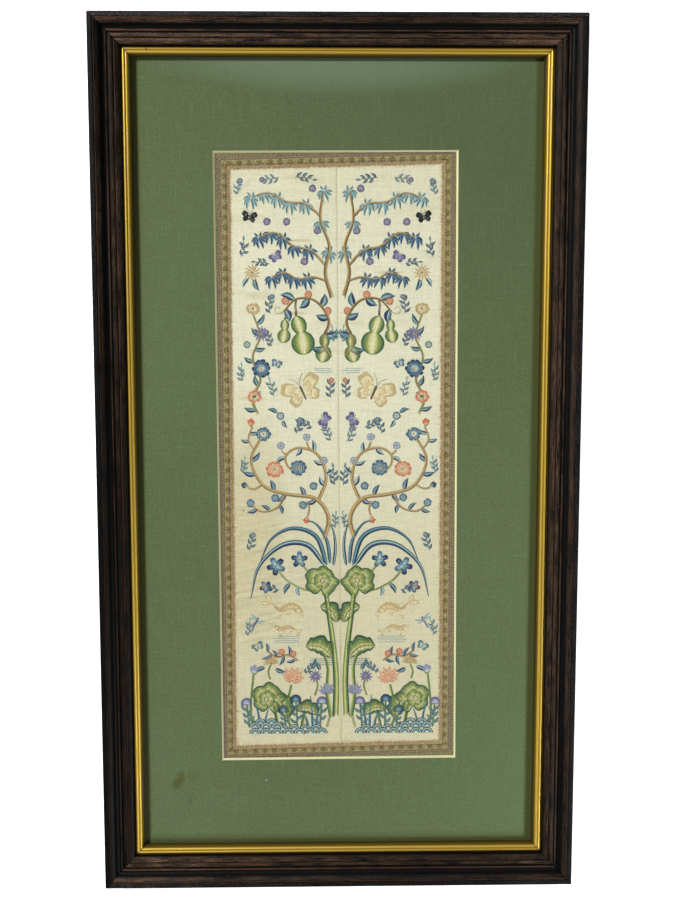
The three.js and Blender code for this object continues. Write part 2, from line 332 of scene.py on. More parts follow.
class Recipe:
    """One material or world, written as a list of steps from its coordinates to its shader."""

    def __init__(self, name, kind="materials"):
        self.made = getattr(bpy.data, kind).new(name)
        self.made.use_nodes = True
        self.tree = self.made.node_tree
        self.tree.nodes.clear()

    def add(self, kind, inputs=(), **settings):
        node = self.tree.nodes.new("ShaderNode" + kind)
        for key, value in settings.items():
            setattr(node, key, value)
        for key, value in dict(inputs).items():
            self.feed(node.inputs[key], value)
        return node

    def feed(self, socket, value):
        if isinstance(value, bpy.types.NodeSocket):
            self.tree.links.new(value, socket)
        elif isinstance(value, str):
            socket.default_value = (*linear(value), 1.0)
        elif socket.type == "RGBA":
            socket.default_value = (*value[:3], 1.0)
        else:
            socket.default_value = value

    def place(self):
        """Position in the frame, in metres."""
        return self.add("TexCoord").outputs["Object"]

    def mark(self, name, kind="Fac"):
        """A value that the mesh code has left on the piece."""
        return self.add("Attribute", attribute_name=name).outputs[kind]

    def math(self, operation, first, second=0.0, third=0.0):
        inputs = {0: first, 1: second, 2: third}
        return self.add("Math", inputs, operation=operation).outputs[0]

    def times(self, first, second):
        return self.math("MULTIPLY", first, second)

    def plus(self, first, second):
        return self.math("ADD", first, second)

    def less(self, first, second):
        return self.math("SUBTRACT", first, second)

    def most(self, first, second):
        return self.math("MAXIMUM", first, second)

    def size(self, value):
        return self.math("ABSOLUTE", value)

    def rest(self, value):
        """What value leaves of 1."""
        return self.math("SUBTRACT", 1.0, value)

    def line(self, value, slope, start):
        """value times slope, plus start."""
        return self.math("MULTIPLY_ADD", value, slope, start)

    def stretch(self, vector, scale):
        inputs = {0: vector, 1: scale}
        return self.add("VectorMath", inputs, operation="MULTIPLY").outputs[0]

    def noise(self, vector, scale=1.0, detail=3.0, roughness=0.55):
        inputs = {"Vector": vector, "Scale": scale, "Detail": detail, "Roughness": roughness}
        return self.add("TexNoise", inputs).outputs["Fac"]

    def streaks(self, vector, scale, detail=3.0, roughness=0.55):
        """Noise that is drawn out, by its own scale along each way."""
        return self.noise(self.stretch(vector, scale), 1.0, detail, roughness)

    def rise(self, value, low, high):
        """0 below low, 1 above high and a soft turn between."""
        inputs = {"Value": value, "From Min": low, "From Max": high}
        return self.add("MapRange", inputs, interpolation_type="SMOOTHSTEP").outputs["Result"]

    def bump_at(self, value, centre, half, soft):
        """1 where value is near centre, 0 further off than half, with soft sides."""
        away = self.size(self.less(value, centre))
        return self.rest(self.rise(away, half - soft, half + soft))

    def wave(self, value, pitch):
        """A sine of value from -1 to 1 that repeats every pitch."""
        return self.math("SINE", self.line(value, 2 * math.pi / pitch, 0.0))

    def mix(self, amount, first, second):
        return self.add("Mix", {0: amount, 6: first, 7: second}, data_type="RGBA").outputs[2]

    def glaze(self, paint, colour_over, amount, share_of):
        """Paint with a share of another colour over it, by an amount from 0 to 1."""
        return self.mix(self.times(amount, share_of), paint, colour_over)

    def tone(self, paint, amount):
        """A colour made lighter or darker by an amount around 1."""
        inputs = {"Color": paint, "Value": amount}
        return self.add("HueSaturation", inputs).outputs["Color"]

    def shade(self, paint, value, slope, start):
        """A colour made lighter or darker along a line of value."""
        return self.tone(paint, self.line(value, slope, start))

    def split(self, vector):
        return self.add("SeparateXYZ", {0: vector}).outputs

    def spot(self, place, x, y, half_width, half_height, soft=0.5):
        """1 in an oval spot at x, y in millimetres and 0 away from it."""
        parts = self.split(place)
        dx = self.line(parts[0], 1 / (half_width * MM), -x / half_width)
        dy = self.line(parts[1], 1 / (half_height * MM), -y / half_height)
        square = self.plus(self.times(dx, dx), self.times(dy, dy))
        return self.rest(self.rise(square, 1 - soft, 1 + soft))

    def oval(self, across, along, x, y, half_width, half_height, ragged):
        """1 in an oval round x, y and 0 away from it. ragged pulls its rim in and out."""
        dx = self.line(across, 1 / half_width, -x / half_width)
        dx = self.times(dx, dx)
        dy = self.line(along, 1 / half_height, -y / half_height)
        dy = self.times(dy, dy)
        return self.rest(self.rise(self.plus(self.plus(dx, dy), ragged), 0.6, 1.3))

    def relief(self, height, distance, strength=1.0, normal=None):
        inputs = {"Height": height, "Distance": distance, "Strength": strength}
        if normal is not None:
            inputs["Normal"] = normal
        return self.add("Bump", inputs).outputs["Normal"]

    def finish(self, paint, roughness, normal=None, **flat):
        """Ends in one Principled shader. Flat numbers go straight on its own sockets."""
        inputs = {"Base Color": paint, "Roughness": roughness}
        if normal is not None:
            inputs["Normal"] = normal
        inputs.update({key.replace("_", " "): value for key, value in flat.items()})
        shader = self.add("BsdfPrincipled", inputs)
        return self.show(shader)

    def show(self, shader, output="OutputMaterial"):
        self.add(output, {"Surface": shader.outputs[0]})
        return self.made


# Where the moulding's outer wall and its outer fillet end, around the section from its outer foot.
WALL_END = 32.0
FILLET_END = 38.6
# The middle and half width of the hollow that is painted near-black, partly dark grain and partly painted
# shade, and the edges painted brown as wear and painted highlight, around the section.
SHADED_HOLLOW = (49.0, 3.4)
RUBBED_AND_LIT_EDGES = (40.3, 53.8, 63.8)


def reeded_wood(look):
    """Dark stained open-grained wood: long streaks and pale pores, with painted shade in its grooves and
    hollow, worn ridges with painted highlights, and painted shade and light that differ per length.
    """
    r = Recipe("reeded_wood")
    grain = r.mark("grain", "Vector")
    proud = r.mark("proud")
    bent = r.line(r.streaks(grain, (0.03, 0.2, 1.0), 2.0), 1.6, -0.8)
    swirl = r.add("CombineXYZ", {1: bent}).outputs[0]
    flow = r.add("VectorMath", {0: grain, 1: swirl}, operation="ADD").outputs[0]
    streak = r.streaks(flow, (0.032, 0.72, 1.0), 5.0, 0.76)
    fine = r.streaks(flow, (0.07, 2.9, 1.0), 4.0, 0.65)
    pores = r.rise(r.streaks(flow, (0.42, 3.0, 1.0), 2.0, 0.5), 0.58, 0.68)
    patch = r.streaks(flow, (0.03, 0.12, 1.0), 3.0, 0.55)
    around = r.split(grain)[1]
    inside = r.rise(around, FILLET_END, FILLET_END + 1.0)
    above = r.rise(around, WALL_END, WALL_END + 1.0)
    outside = r.mix(above, "3b322c", "262a30")
    brown = r.mix(inside, outside, look.wood_brown)
    paint = r.mix(r.rise(streak, 0.47, 0.56), look.wood_dark, brown)
    # Wear and painted highlight: the proud ridges of the front turn to the lighter worn brown in patches.
    worn_and_lit = r.times(r.rise(proud, 0.45, 1.0), r.rise(patch, 0.36, 0.60))
    worn_and_lit = r.times(worn_and_lit, r.rise(fine, 0.41, 0.57))
    worn_and_lit = r.times(worn_and_lit, r.line(inside, 0.9, 0.1))
    paint = r.mix(worn_and_lit, paint, look.wood_worn_and_lit)
    cracks = r.rest(r.rise(fine, 0.42, 0.54))
    paint = r.glaze(paint, look.wood_dark, cracks, 0.9)
    paint = r.glaze(paint, look.wood_pore, pores, 0.50)
    # Dirt and painted shade: the wood is darker where it stands least proud, in its grooves, scaled by each
    # length's stain value.
    groove_dirt_and_shade = r.line(r.rise(proud, 0.06, 0.60), 0.90, 0.10)
    paint = r.tone(paint, r.times(groove_dirt_and_shade, r.mark("stain")))
    # Dark grain and painted shade: the hollow is painted near-black, with ragged edges that follow the grain.
    hollow_shade = r.bump_at(r.line(streak, 8.0, around), SHADED_HOLLOW[0] + 4.0, SHADED_HOLLOW[1], 0.7)
    paint = r.glaze(paint, "060708", hollow_shade, 0.80)
    # Wear and painted highlight: thin brown lines along three edges of the section, stronger on the lengths
    # with a higher stain value.
    crest = 0.0
    for place in RUBBED_AND_LIT_EDGES:
        crest = r.most(crest, r.bump_at(around, place, 0.42, 0.25))
    crest = r.times(crest, r.rise(patch, 0.30, 0.56))
    crest = r.times(crest, r.line(r.mark("stain"), 0.5, 0.28))
    paint = r.mix(crest, paint, "5a3a26")
    paint = r.glaze(paint, "020202", r.mark("joint"), 0.96)
    rough = r.line(fine, 0.30, look.wood_gloss - 0.10)
    height = r.less(r.times(fine, 0.8), pores)
    return r.finish(paint, rough, r.relief(height, 0.00022, 0.9), Specular_IOR_Level=0.12)


def toned_gilt(look):
    """Gold leaf over gesso: the plain gold on the beads, darker in the hollows by toning and painted shade,
    with a painted shadow of the lip on the top and bottom lengths.
    """
    r = Recipe("toned_gilt")
    grain = r.mark("grain", "Vector")
    proud = r.mark("proud")
    cloud = r.streaks(grain, (0.05, 0.5, 1.0), 4.0, 0.6)
    speck = r.streaks(grain, (0.5, 1.8, 1.0), 2.0, 0.5)
    # Toning and painted shade: the gold goes to the darker colour away from the crests of the beads.
    shade = r.rest(r.rise(proud, 0.30, 0.95))
    shade = r.most(shade, r.times(r.rise(cloud, 0.5, 0.72), 0.30))
    paint = r.mix(r.times(shade, 0.80), look.gilt, look.gilt_toning_and_shade)
    paint = r.glaze(paint, "2f2604", r.mark("inner"), 0.94)
    rubbed = r.rise(r.streaks(grain, (0.25, 0.9, 1.0), 3.0, 0.6), 0.66, 0.74)
    paint = r.glaze(paint, "5a3a16", rubbed, 0.5)
    place = r.place()
    # Painted shadow: the outer edge of the top and bottom lengths of the slip is darkened as if in the shade
    # of the wooden lip.
    outer = r.rise(r.size(r.split(place)[1]), 0.3722, 0.3738)
    paint = r.glaze(paint, "4a3804", outer, 0.62)
    nick = r.spot(place, -171, 372.6, 0.5, 1.5, 0.5)
    paint = r.mix(r.most(nick, r.times(r.mark("joint"), 0.7)), paint, "241c08")
    rough = r.line(speck, 0.12, 0.38)
    return r.finish(paint, rough, r.relief(speck, 0.00004, 0.5), Metallic=0.7, Specular_IOR_Level=0.6)


# Stains on the linen: middle, half sizes and depth.
LINEN_STAINS = ((-154.6, -309, 4.4, 5.0, 1.0), (-150.8, -303, 3.8, 5.6, 0.9), (-140, -301, 5.0, 6.0, 0.3))


def linen_face(look):
    """Fine green linen: threads both ways, a few thicker slubs and small marks, with painted light and shade
    near its edges and a painted reflection near its top.
    """
    r = Recipe("linen_face")
    place = r.place()
    x, y, _ = r.split(place)
    uneven = r.noise(place, 260.0, 2.0)
    across = r.wave(r.line(uneven, 0.0004, x), look.linen_pitch)
    up = r.wave(r.line(uneven, 0.0004, y), look.linen_pitch)
    weave = r.plus(across, up)
    slub_up = r.rise(r.streaks(place, (900.0, 26.0, 1.0), 2.0), 0.52, 0.72)
    slub_across = r.rise(r.streaks(place, (26.0, 900.0, 1.0), 2.0), 0.54, 0.74)
    slubs = r.most(slub_up, slub_across)
    # Fading at random, and painted light: the linen turns paler towards the two lower corners.
    faded_and_lit = r.line(r.noise(place, 5.0, 3.0), 0.5, 0.0)
    low = r.math("MINIMUM", y, 0.0)
    sides = r.times(r.size(x), 15.0)
    faded_and_lit = r.line(r.times(low, low), sides, faded_and_lit)
    mottle = r.noise(place, 820.0, 3.0, 0.7)
    paint = r.mix(faded_and_lit, look.linen, look.linen_pale)
    paint = r.glaze(paint, look.linen_pale, slubs, 0.55)
    paint = r.shade(paint, mottle, 1.5, 0.26)
    paint = r.shade(paint, weave, 0.08, 1.0)
    # Painted shade: the linen is darker towards the top and the right.
    upper = r.rise(r.line(x, 0.6, y), 0.08, 0.40)
    paint = r.shade(paint, upper, -0.16, 1.0)
    # Painted reflection: a pale patch near the top, where the glass would mirror the room.
    glass_glare = r.times(r.spot(place, 5, 373, 140, 30, 0.98), 0.45)
    paint = r.mix(glass_glare, paint, "86977f")
    # Painted shadow and painted gold reflection: the linen turns a dark yellow-olive along the left, right
    # and bottom slips.
    beside = r.rise(r.size(x), 0.1785, 0.1812)
    below = r.rise(r.times(y, -1.0), 0.3560, 0.3680)
    paint = r.glaze(paint, "515524", r.most(beside, below), 0.9)
    rim = r.line(r.noise(place, 420.0, 3.0), 0.7, 0.35)
    for mx, my, wide, high, depth in LINEN_STAINS:
        stain = r.times(r.spot(place, mx, my, wide, high, 0.75), depth)
        paint = r.glaze(paint, "57591f", stain, rim)
    speck = r.spot(place, -69, -306, 0.6, 0.6, 0.5)
    paint = r.mix(speck, paint, "dcdcd0")
    height = r.line(slubs, 1.2, weave)
    normal = r.relief(height, 0.00006, 0.7)
    return r.finish(paint, 0.86, normal, Specular_IOR_Level=0.25, Sheen_Weight=0.15)


def cut_core(look):
    """The cream core of the mat, where the knife has cut the bevel."""
    r = Recipe("mat_core")
    place = r.place()
    fibre = r.noise(place, 1400.0, 2.0)
    paint = r.shade(look.core, fibre, 0.18, 0.9)
    return r.finish(paint, 0.8, r.relief(fibre, 0.00003, 0.5))


def plain_board(name, paint, fleck, scale):
    """Pressed board: small fibres and a little unevenness."""
    r = Recipe(name)
    place = r.place()
    fibre = r.noise(r.stretch(place, (1.0, 2.4, 1.0)), scale, 4.0, 0.6)
    cloud = r.noise(place, 9.0, 3.0)
    colour_out = r.glaze(paint, fleck, r.rise(fibre, 0.5, 0.72), 0.5)
    colour_out = r.shade(colour_out, cloud, 0.24, 0.88)
    return r.finish(colour_out, 0.85, r.relief(fibre, 0.00008, 0.6))


def picture_glass():
    """Clear glass that only mirrors at its surface, so that light passes straight to the silk."""
    r = Recipe("picture_glass")
    ripple = r.noise(r.place(), 3.0, 1.0)
    normal = r.relief(ripple, 0.00004, 0.25)
    clear = r.add("BsdfTransparent", {"Color": (0.975, 0.985, 0.975)}).outputs[0]
    mirror = r.add("BsdfGlossy", {"Roughness": 0.02, "Normal": normal}).outputs[0]
    edge = r.add("Fresnel", {"IOR": 1.45}).outputs[0]
    front = r.rest(r.add("NewGeometry").outputs["Backfacing"])
    amount = r.times(edge, front)
    return r.show(r.add("MixShader", {0: amount, 1: clear, 2: mirror}))


# Ovals on the silk, as middle and half sizes: the yellowed patch and the patch of drawn wrinkles.
YELLOWED = (-80, -90, 34, 120)
DRAWN_PATCH = (-74, -104, 40, 84)
WRINKLE_SLOPE = 0.2


def silk_ground(look):
    """Fine plain silk: close threads, slubs across, yellowed streaks and a few small spots."""
    r = Recipe("silk_ground")
    place = r.place()
    x, y, _ = r.split(place)
    pitch = look.silk_pitch
    weave = r.plus(r.wave(x, pitch), r.wave(y, pitch * 0.9))
    slub = r.streaks(place, (60.0, 620.0, 1.0), 4.0, 0.75)
    warp = r.streaks(place, (560.0, 36.0, 1.0), 4.0, 0.75)
    streak = r.streaks(place, (9.0, 60.0, 1.0), 4.0, 0.6)
    cloud = r.noise(place, 14.0, 3.0)
    aged = r.times(r.rise(streak, 0.50, 0.78), r.rise(cloud, 0.32, 0.62))
    aged = r.most(aged, r.times(r.rise(y, 0.18, 0.29), 0.30))
    aged = r.most(aged, r.times(r.rise(y, 0.06, -0.13), 0.66))
    aged = r.most(aged, r.spot(place, *YELLOWED, 0.95))
    paint = r.mix(r.times(aged, 0.60), look.silk, look.silk_aged)
    threads = r.plus(r.times(slub, 0.5), r.times(warp, 0.4))
    nap = r.noise(place, 620.0, 3.0, 0.7)
    paint = r.shade(paint, threads, 0.80, 0.64)
    paint = r.shade(paint, nap, 0.36, 0.82)
    marks = ((-89, -45, 0.8), (-33, -262, 0.7), (61, 118, 0.5), (-70, 201, 0.5), (30, -20, 0.5))
    for mx, my, size in marks:
        paint = r.mix(r.spot(place, mx, my, size, size, 0.6), paint, "8a7a55")
    streaks = ((-43, 139, 14, 1.6), (-35, 205, 10, 1.3), (47, 176, 12, 1.5), (-80, 60, 12, 2.0))
    for mx, my, wide, high in streaks:
        amount = r.times(r.spot(place, mx, my, wide, high, 0.95), 0.55)
        paint = r.mix(amount, paint, look.silk_aged)
    rows = r.line(x, -WRINKLE_SLOPE, y)
    lie = r.add("CombineXYZ", {0: x, 1: rows}).outputs[0]
    wrinkles = r.streaks(lie, (11.0, 130.0, 1.0), 3.0, 0.5)
    drawn = r.line(r.spot(place, *DRAWN_PATCH, 0.9), 0.8, 0.2)
    folds = r.relief(r.times(wrinkles, drawn), 0.0019, 1.0)
    height = r.line(threads, 6.0, weave)
    normal = r.relief(height, 0.00003, 0.7, folds)
    sheen = {"Sheen_Weight": 0.15, "Sheen_Roughness": 0.4, "Specular_IOR_Level": 0.35}
    return r.finish(paint, 0.52, normal, **sheen)


def ribbon_figures(r, along, depth, ragged, pitch):
    """Where the ribbon's figures lie, each from 0 to 1, by name."""
    cell = r.times(r.less(r.math("FRACT", r.math("DIVIDE", along, pitch)), 0.5), pitch)
    bead = r.less(r.math("FRACT", r.math("DIVIDE", along, BEAD_PITCH)), 0.5)
    bead = r.times(bead, BEAD_PITCH)
    away = r.size(r.less(depth, CHAIN_DEPTH))
    link = r.times(r.size(r.wave(along, 2 * CHAIN_PITCH)), 1.1)
    return {
        "halo": r.oval(cell, depth, 0.0, 6.0, 3.6, 1.9, ragged),
        "leaf": r.oval(cell, depth, 0.0, 6.0, 2.5, 1.4, ragged),
        "fork": r.oval(cell, depth, 0.0, 3.9, 3.3, 0.9, ragged),
        "chain": r.bump_at(r.less(away, link), 0.0, 0.42, 0.25),
        "eye": r.rise(r.less(link, away), 0.30, 0.6),
        "bead": r.oval(bead, depth, 0.0, BEAD_DEPTH, 0.9, 0.9, ragged),
        "light": r.oval(bead, depth, BEAD_PITCH / 2, BEAD_DEPTH, 0.7, 0.7, ragged),
    }


def woven_ribbon(look):
    """The ribbon's woven bands, read from its inner edge out, with their motifs along it."""
    r = Recipe("woven_ribbon")
    weave = r.mark("weave", "Vector")
    along, depth, _ = r.split(weave)
    wander = r.streaks(weave, (0.5, 0.5, 0.5), 2.0)
    depth = r.plus(depth, r.line(wander, 1.2, -0.6))
    coarse = r.streaks(weave, (0.5, 0.5, 1.0), 1.0, 0.5)
    knots = r.streaks(weave, (0.95, 0.95, 1.3), 1.0, 0.5)
    specks = r.streaks(weave, (1.1, 1.1, 2.1), 1.0, 0.5)
    fine = r.streaks(weave, (2.0, 2.2, 1.0), 2.0, 0.6)
    ragged = r.line(knots, 3.2, -1.6)
    figures = ribbon_figures(r, along, depth, ragged, look.motif_pitch / MM)
    paint = r.mix(r.rise(knots, 0.42, 0.60), look.ribbon_ground, look.ribbon_pale)
    border = r.mix(r.rise(knots, 0.48, 0.62), look.ribbon_pink, look.ribbon_ground)
    paint = r.mix(r.rest(r.rise(depth, 2.5, 3.1)), paint, border)
    brown = r.times(r.bump_at(depth, 3.7, 0.9, 0.4), r.rise(specks, 0.40, 0.58))
    paint = r.glaze(paint, look.ribbon_brown, brown, 0.6)
    paint = r.mix(r.rise(depth, 7.8, 8.2), paint, look.ribbon_mauve)
    paint = r.mix(r.rise(depth, 11.3, 11.7), paint, look.ribbon_edge)
    paint = r.mix(r.rise(depth, 14.8, 15.3), paint, look.ribbon_teal)
    inks = (
        ("halo", 0.60, look.ribbon_edge),
        ("leaf", 0.80, look.ribbon_olive),
        ("fork", 0.75, look.ribbon_brown),
        ("eye", 0.60, look.ribbon_pale),
        ("chain", 0.60, look.ribbon_brown),
        ("bead", 0.80, look.ribbon_teal),
        ("light", 0.60, look.ribbon_pale),
    )
    for figure, amount, ink in inks:
        paint = r.glaze(paint, ink, figures[figure], amount)
    paint = r.glaze(paint, look.ribbon_mauve, r.rise(specks, 0.54, 0.62), 0.22)
    paint = r.glaze(paint, look.ribbon_pale, r.rise(knots, 0.58, 0.66), 0.35)
    tone = r.plus(r.times(coarse, 0.4), r.times(specks, 0.6))
    tone = r.plus(tone, r.times(fine, 0.4))
    paint = r.shade(paint, tone, 2.7, -1.0)
    threads = r.plus(r.wave(along, 0.55), r.wave(depth, 0.6))
    height = r.plus(r.times(threads, 0.4), r.times(specks, 3.0))
    return r.finish(paint, 0.62, r.relief(height, 0.00016, 0.8), Sheen_Weight=0.2)


def embroidery_silk():
    """Untwisted silk: the dyed colour of each stitch, with the soft gloss of laid floss."""
    r = Recipe("embroidery_silk")
    dye = r.mark("dye", "Color")
    fleck = r.noise(r.place(), 1500.0, 2.0)
    paint = r.shade(dye, fleck, 0.30, 0.85)
    gloss = {"Sheen_Weight": 0.25, "Sheen_Roughness": 0.35, "Specular_IOR_Level": 0.5}
    return r.finish(paint, 0.38, **gloss)


def loose_fibre(name, paint):
    r = Recipe(name)
    fleck = r.noise(r.place(), 900.0, 2.0)
    colour_out = r.shade(paint, fleck, 0.6, 0.7)
    return r.finish(colour_out, 0.8)


def pale_floor(look):
    """A plain floor that gives back nearly all of its light."""
    r = Recipe("pale_floor")
    cloud = r.noise(r.place(), 2.0, 2.0)
    paint = r.shade(look.floor, cloud, 0.02, 0.99)
    return r.finish(paint, 0.9, Emission_Color=look.floor, Emission_Strength=0.9)


# ---- Meshes ----


def make_piece(name, points, faces, materials, marks=None, smooth_faces=True):
    """A piece from points in millimetres, riding on the frame."""
    mesh = bpy.data.meshes.new(name)
    faces = faces.tolist() if isinstance(faces, np.ndarray) else faces
    mesh.from_pydata(np.asarray(points, float) * MM, [], faces)
    for key, values in (marks or {}).items():
        values = np.asarray(values, np.float32)
        kinds = {1: ("FLOAT", "value"), 3: ("FLOAT_VECTOR", "vector"), 4: ("FLOAT_COLOR", "color")}
        kind, field = kinds[1 if values.ndim == 1 else values.shape[1]]
        mesh.attributes.new(key, kind, "POINT").data.foreach_set(field, values.ravel())
    mesh.polygons.foreach_set("use_smooth", [smooth_faces] * len(mesh.polygons))
    mesh.update()
    for material in materials:
        mesh.materials.append(material)
    piece = bpy.data.objects.new(name, mesh)
    bpy.context.scene.collection.objects.link(piece)
    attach(piece, "root")
    return piece


def grid_faces(rows, columns, start=0):
    """Four-cornered faces of a grid of points, row after row."""
    i, j = np.meshgrid(np.arange(columns - 1), np.arange(rows - 1))
    corner = start + (j * columns + i).ravel()
    return np.stack([corner, corner + 1, corner + columns + 1, corner + columns], axis=1)


def sharpen(piece, degrees):
    """Marks edges that turn more than this as sharp, so that flats stay flat."""
    bpy.context.view_layer.objects.active = piece
    piece.select_set(True)
    bpy.ops.object.shade_smooth_by_angle(angle=math.radians(degrees))
    piece.select_set(False)


def flat_map(piece):
    """A map that looks straight down on the piece."""
    mesh = piece.data
    places = np.zeros(len(mesh.vertices) * 3, np.float32)
    mesh.vertices.foreach_get("co", places)
    places = places.reshape(-1, 3)[:, :2]
    low = places.min(0)
    size = (places.max(0) - low).max()
    corners = np.zeros(len(mesh.loops), np.int32)
    mesh.loops.foreach_get("vertex_index", corners)
    layer = mesh.uv_layers.new(name="OFBake")
    layer.data.foreach_set("uv", (((places - low) / size)[corners]).ravel())


# ---- Moulding and slip ----

# Sections of the moulding and the slip: distance in from the outer edge and height above the back.
# A step of two numbers is a straight cut, and one of four is a curve with its pull point first.
RAIL_SECTION = (
    (0, 0),
    (0, 33.0),
    (0, 34.0, 0.9, 34.0),
    (4.1, 34.0),
    (4.5, 34.0, 4.8, 33.2),
    (4.95, 32.7),
    (5.05, 33.4, 5.45, 33.45),
    (9.0, 32.7, 10.6, 28.8),
    (11.3, 26.4, 14.0, 26.2),
    (14.9, 28.0, 15.8, 26.6),
    (16.4, 25.4),
    (18.9, 27.3, 21.4, 25.3),
    (21.7, 24.5),
    (21.8, 25.7, 22.3, 25.7),
    (25.3, 25.6, 26.9, 23.4),
    (RAIL_WIDTH, 23.0, RAIL_WIDTH, 22.5),
    (RAIL_WIDTH, LIP_LOW),
    (RAIL_WIDTH - LIP_WIDTH, LIP_LOW),
    (RAIL_WIDTH - LIP_WIDTH, 0),
)
SLIP_SECTION = (
    (RAIL_WIDTH - LIP_WIDTH + GAP, SLIP_LOW),
    (RAIL_WIDTH - LIP_WIDTH + GAP, SLIP_LOW + SLIP_TONGUE),
    (RAIL_WIDTH + GAP, SLIP_LOW + SLIP_TONGUE),
    (RAIL_WIDTH + GAP, 20.0),
    (28.1, 20.0, 28.5, 20.4),
    (29.8, 22.3, 31.0, 20.9),
    (31.3, 20.4, 31.8, 20.5),
    (33.5, 21.3, 34.5, 18.0),
    (35.5, 15.2),
    (RAIL_WIDTH + GAP + SLIP_SIGHT, SLIP_LOW),
)
# Where the slip's inner face starts and is wholly toned down, in from the outer edge.
SLIP_FALL = (33.4, 36.0)
CURVE_STEPS = 8
# How far apart two points of a section may be and still count as neighbours.
NEIGHBOURS = 2.2
# How much the outer corners are eased off, and how far in from the edge that fades.
EASED, EASED_OVER = 0.45, 0.35
RAIL_STATIONS = 54
# Edges that turn more than this, in degrees, stay sharp.
SHARP_TURN = 38
# How far the dark line of a mitre runs into each length.
MITRE_LINE = 1.7
# How light the stain is at six places along each length of the moulding, from end to end. The lengths differ
# partly as real stain and partly as painted shade and light: the left length is darkest and the top lightest.
STAIN_PLACES = (-0.86, -0.55, -0.2, 0.2, 0.55, 0.86)
STAINS_AND_SHADE = {
    "top": (1.52, 1.16, 0.94, 0.65, 0.80, 1.50),
    "right": (0.33, 0.57, 0.72, 0.63, 0.58, 0.46),
    "bottom": (0.58, 0.37, 0.42, 0.64, 0.76, 1.40),
    "left": (0.20, 0.19, 0.12, 0.32, 0.58, 0.27),
}
SIDES = (
    ("top", 0, (0, FRAME_HEIGHT / 2), FRAME_WIDTH),
    ("right", -90, (FRAME_WIDTH / 2, 0), FRAME_HEIGHT),
    ("bottom", 180, (0, -FRAME_HEIGHT / 2), FRAME_WIDTH),
    ("left", 90, (-FRAME_WIDTH / 2, 0), FRAME_HEIGHT),
)


def section_points(section):
    """The section as points, with its curves stepped."""
    points = [np.array(section[0], float)]
    for cut in section[1:]:
        if len(cut) == 2:
            points.append(np.array(cut, float))
            continue
        start, pull, end = points[-1], np.array(cut[:2], float), np.array(cut[2:], float)
        for k in range(1, CURVE_STEPS + 1):
            t = k / CURVE_STEPS
            points.append(start * (1 - t) ** 2 + pull * 2 * t * (1 - t) + end * t**2)
    return np.array(points)


def proudness(points):
    """How far each point of the section stands proud of its neighbours, from 0 in a groove to 1."""
    heights = points[:, 1]
    near = np.abs(points[:, :1] - points[:, 0]) < NEIGHBOURS
    top = points[:, 1] > LIP_LOW
    low = np.where(near & top, heights, np.inf).min(1)
    high = np.where(near & top, heights, -np.inf).max(1)
    return np.where(top, (heights - low) / np.maximum(high - low, 0.6), 0.3)


def mitred_length(name, section, side, seed, wear, material, node):
    """One side of the frame, cut at 45 degrees at both ends."""
    _, turn, (x, y), full = side
    points = section_points(section)
    count = len(points)
    proud = proudness(points)
    random = np.random.default_rng(seed)
    inner_end = 1 - 2 * MITRE_LINE / full
    stations = np.concatenate([[-1], np.linspace(-inner_end, inner_end, RAIL_STATIONS - 2), [1]])
    reach = full / 2 - points[:, 0] - EASED * np.exp(-points[:, 0] / EASED_OVER)
    along = stations[:, None] * reach[None, :]
    waves = random.uniform(0.01, 0.09, 6)[:, None], random.uniform(0, 6.3, 6)[:, None]
    rub = np.sin(stations[None, :] * full / 2 * waves[0] + waves[1]).mean(0)
    shown = (points[:, 1] > LIP_LOW + 0.5) * proud
    drop = wear / MM * np.outer(1 + rub * (1 - stations**8), shown)
    inward = np.broadcast_to(-points[:, 0], along.shape)
    height = points[None, :, 1] - drop
    c, s = toward(turn, 1)
    world = np.stack([x + along * c - inward * s, y + along * s + inward * c, height], axis=-1)
    ring = np.arange(count)
    after = (ring + 1) % count
    faces = []
    for k in range(RAIL_STATIONS - 1):
        here, there = k * count, (k + 1) * count
        faces += np.stack([here + ring, here + after, there + after, there + ring], 1).tolist()
    faces.append(list(range(count))[::-1])
    faces.append([(RAIL_STATIONS - 1) * count + i for i in range(count)])
    around = np.concatenate([[0], np.cumsum(step_lengths(points))])
    grain = [along, np.broadcast_to(around, along.shape), np.full(along.shape, 37.0 * seed)]
    marks = {
        "grain": np.stack(grain, axis=-1).reshape(-1, 3),
        "proud": np.tile(proud, RAIL_STATIONS),
        "inner": np.tile(smooth(points[:, 0], *SLIP_FALL), RAIL_STATIONS),
        # The stain value also carries each length's painted shade and light.
        "stain": np.repeat(np.interp(stations, STAIN_PLACES, STAINS_AND_SHADE[side[0]]), count),
        "joint": np.repeat(np.abs(stations) == 1, count),
    }
    piece = make_piece(name, world.reshape(-1, 3), faces, [material], marks)
    sharpen(piece, SHARP_TURN)
    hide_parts(node)
    return piece


# ---- Mat, silk and ribbon ----

CLOTH_STEP = 1.4
RIBBON_STEP = 0.85
RIBBON_COLUMNS = 25
# The ribbon's chain and its row of beads: distance from the inner edge, and repeat.
CHAIN_DEPTH, CHAIN_PITCH = 9.7, 2.4
BEAD_DEPTH, BEAD_PITCH = 12.6, 2.9
# The mat's bevel is cut shallow, and the board drops straight below it.
BEVEL_WIDTH, BEVEL_DEPTH = 1.5, 1.7


def window_outline(inset):
    """The mat's window at a depth of inset below its face, from bottom left and on to the right."""
    half = (MAT_WINDOW["width"] / 2 - inset, MAT_WINDOW["height"] / 2 - inset)
    signs = np.array([(-1, -1), (1, -1), (1, 1), (-1, 1)])
    return placed(signs * half, (MAT_WINDOW["x"], MAT_WINDOW["y"]), MAT_WINDOW["turn"])


def at_height(outline, z):
    return np.column_stack([outline, np.full(len(outline), z)])


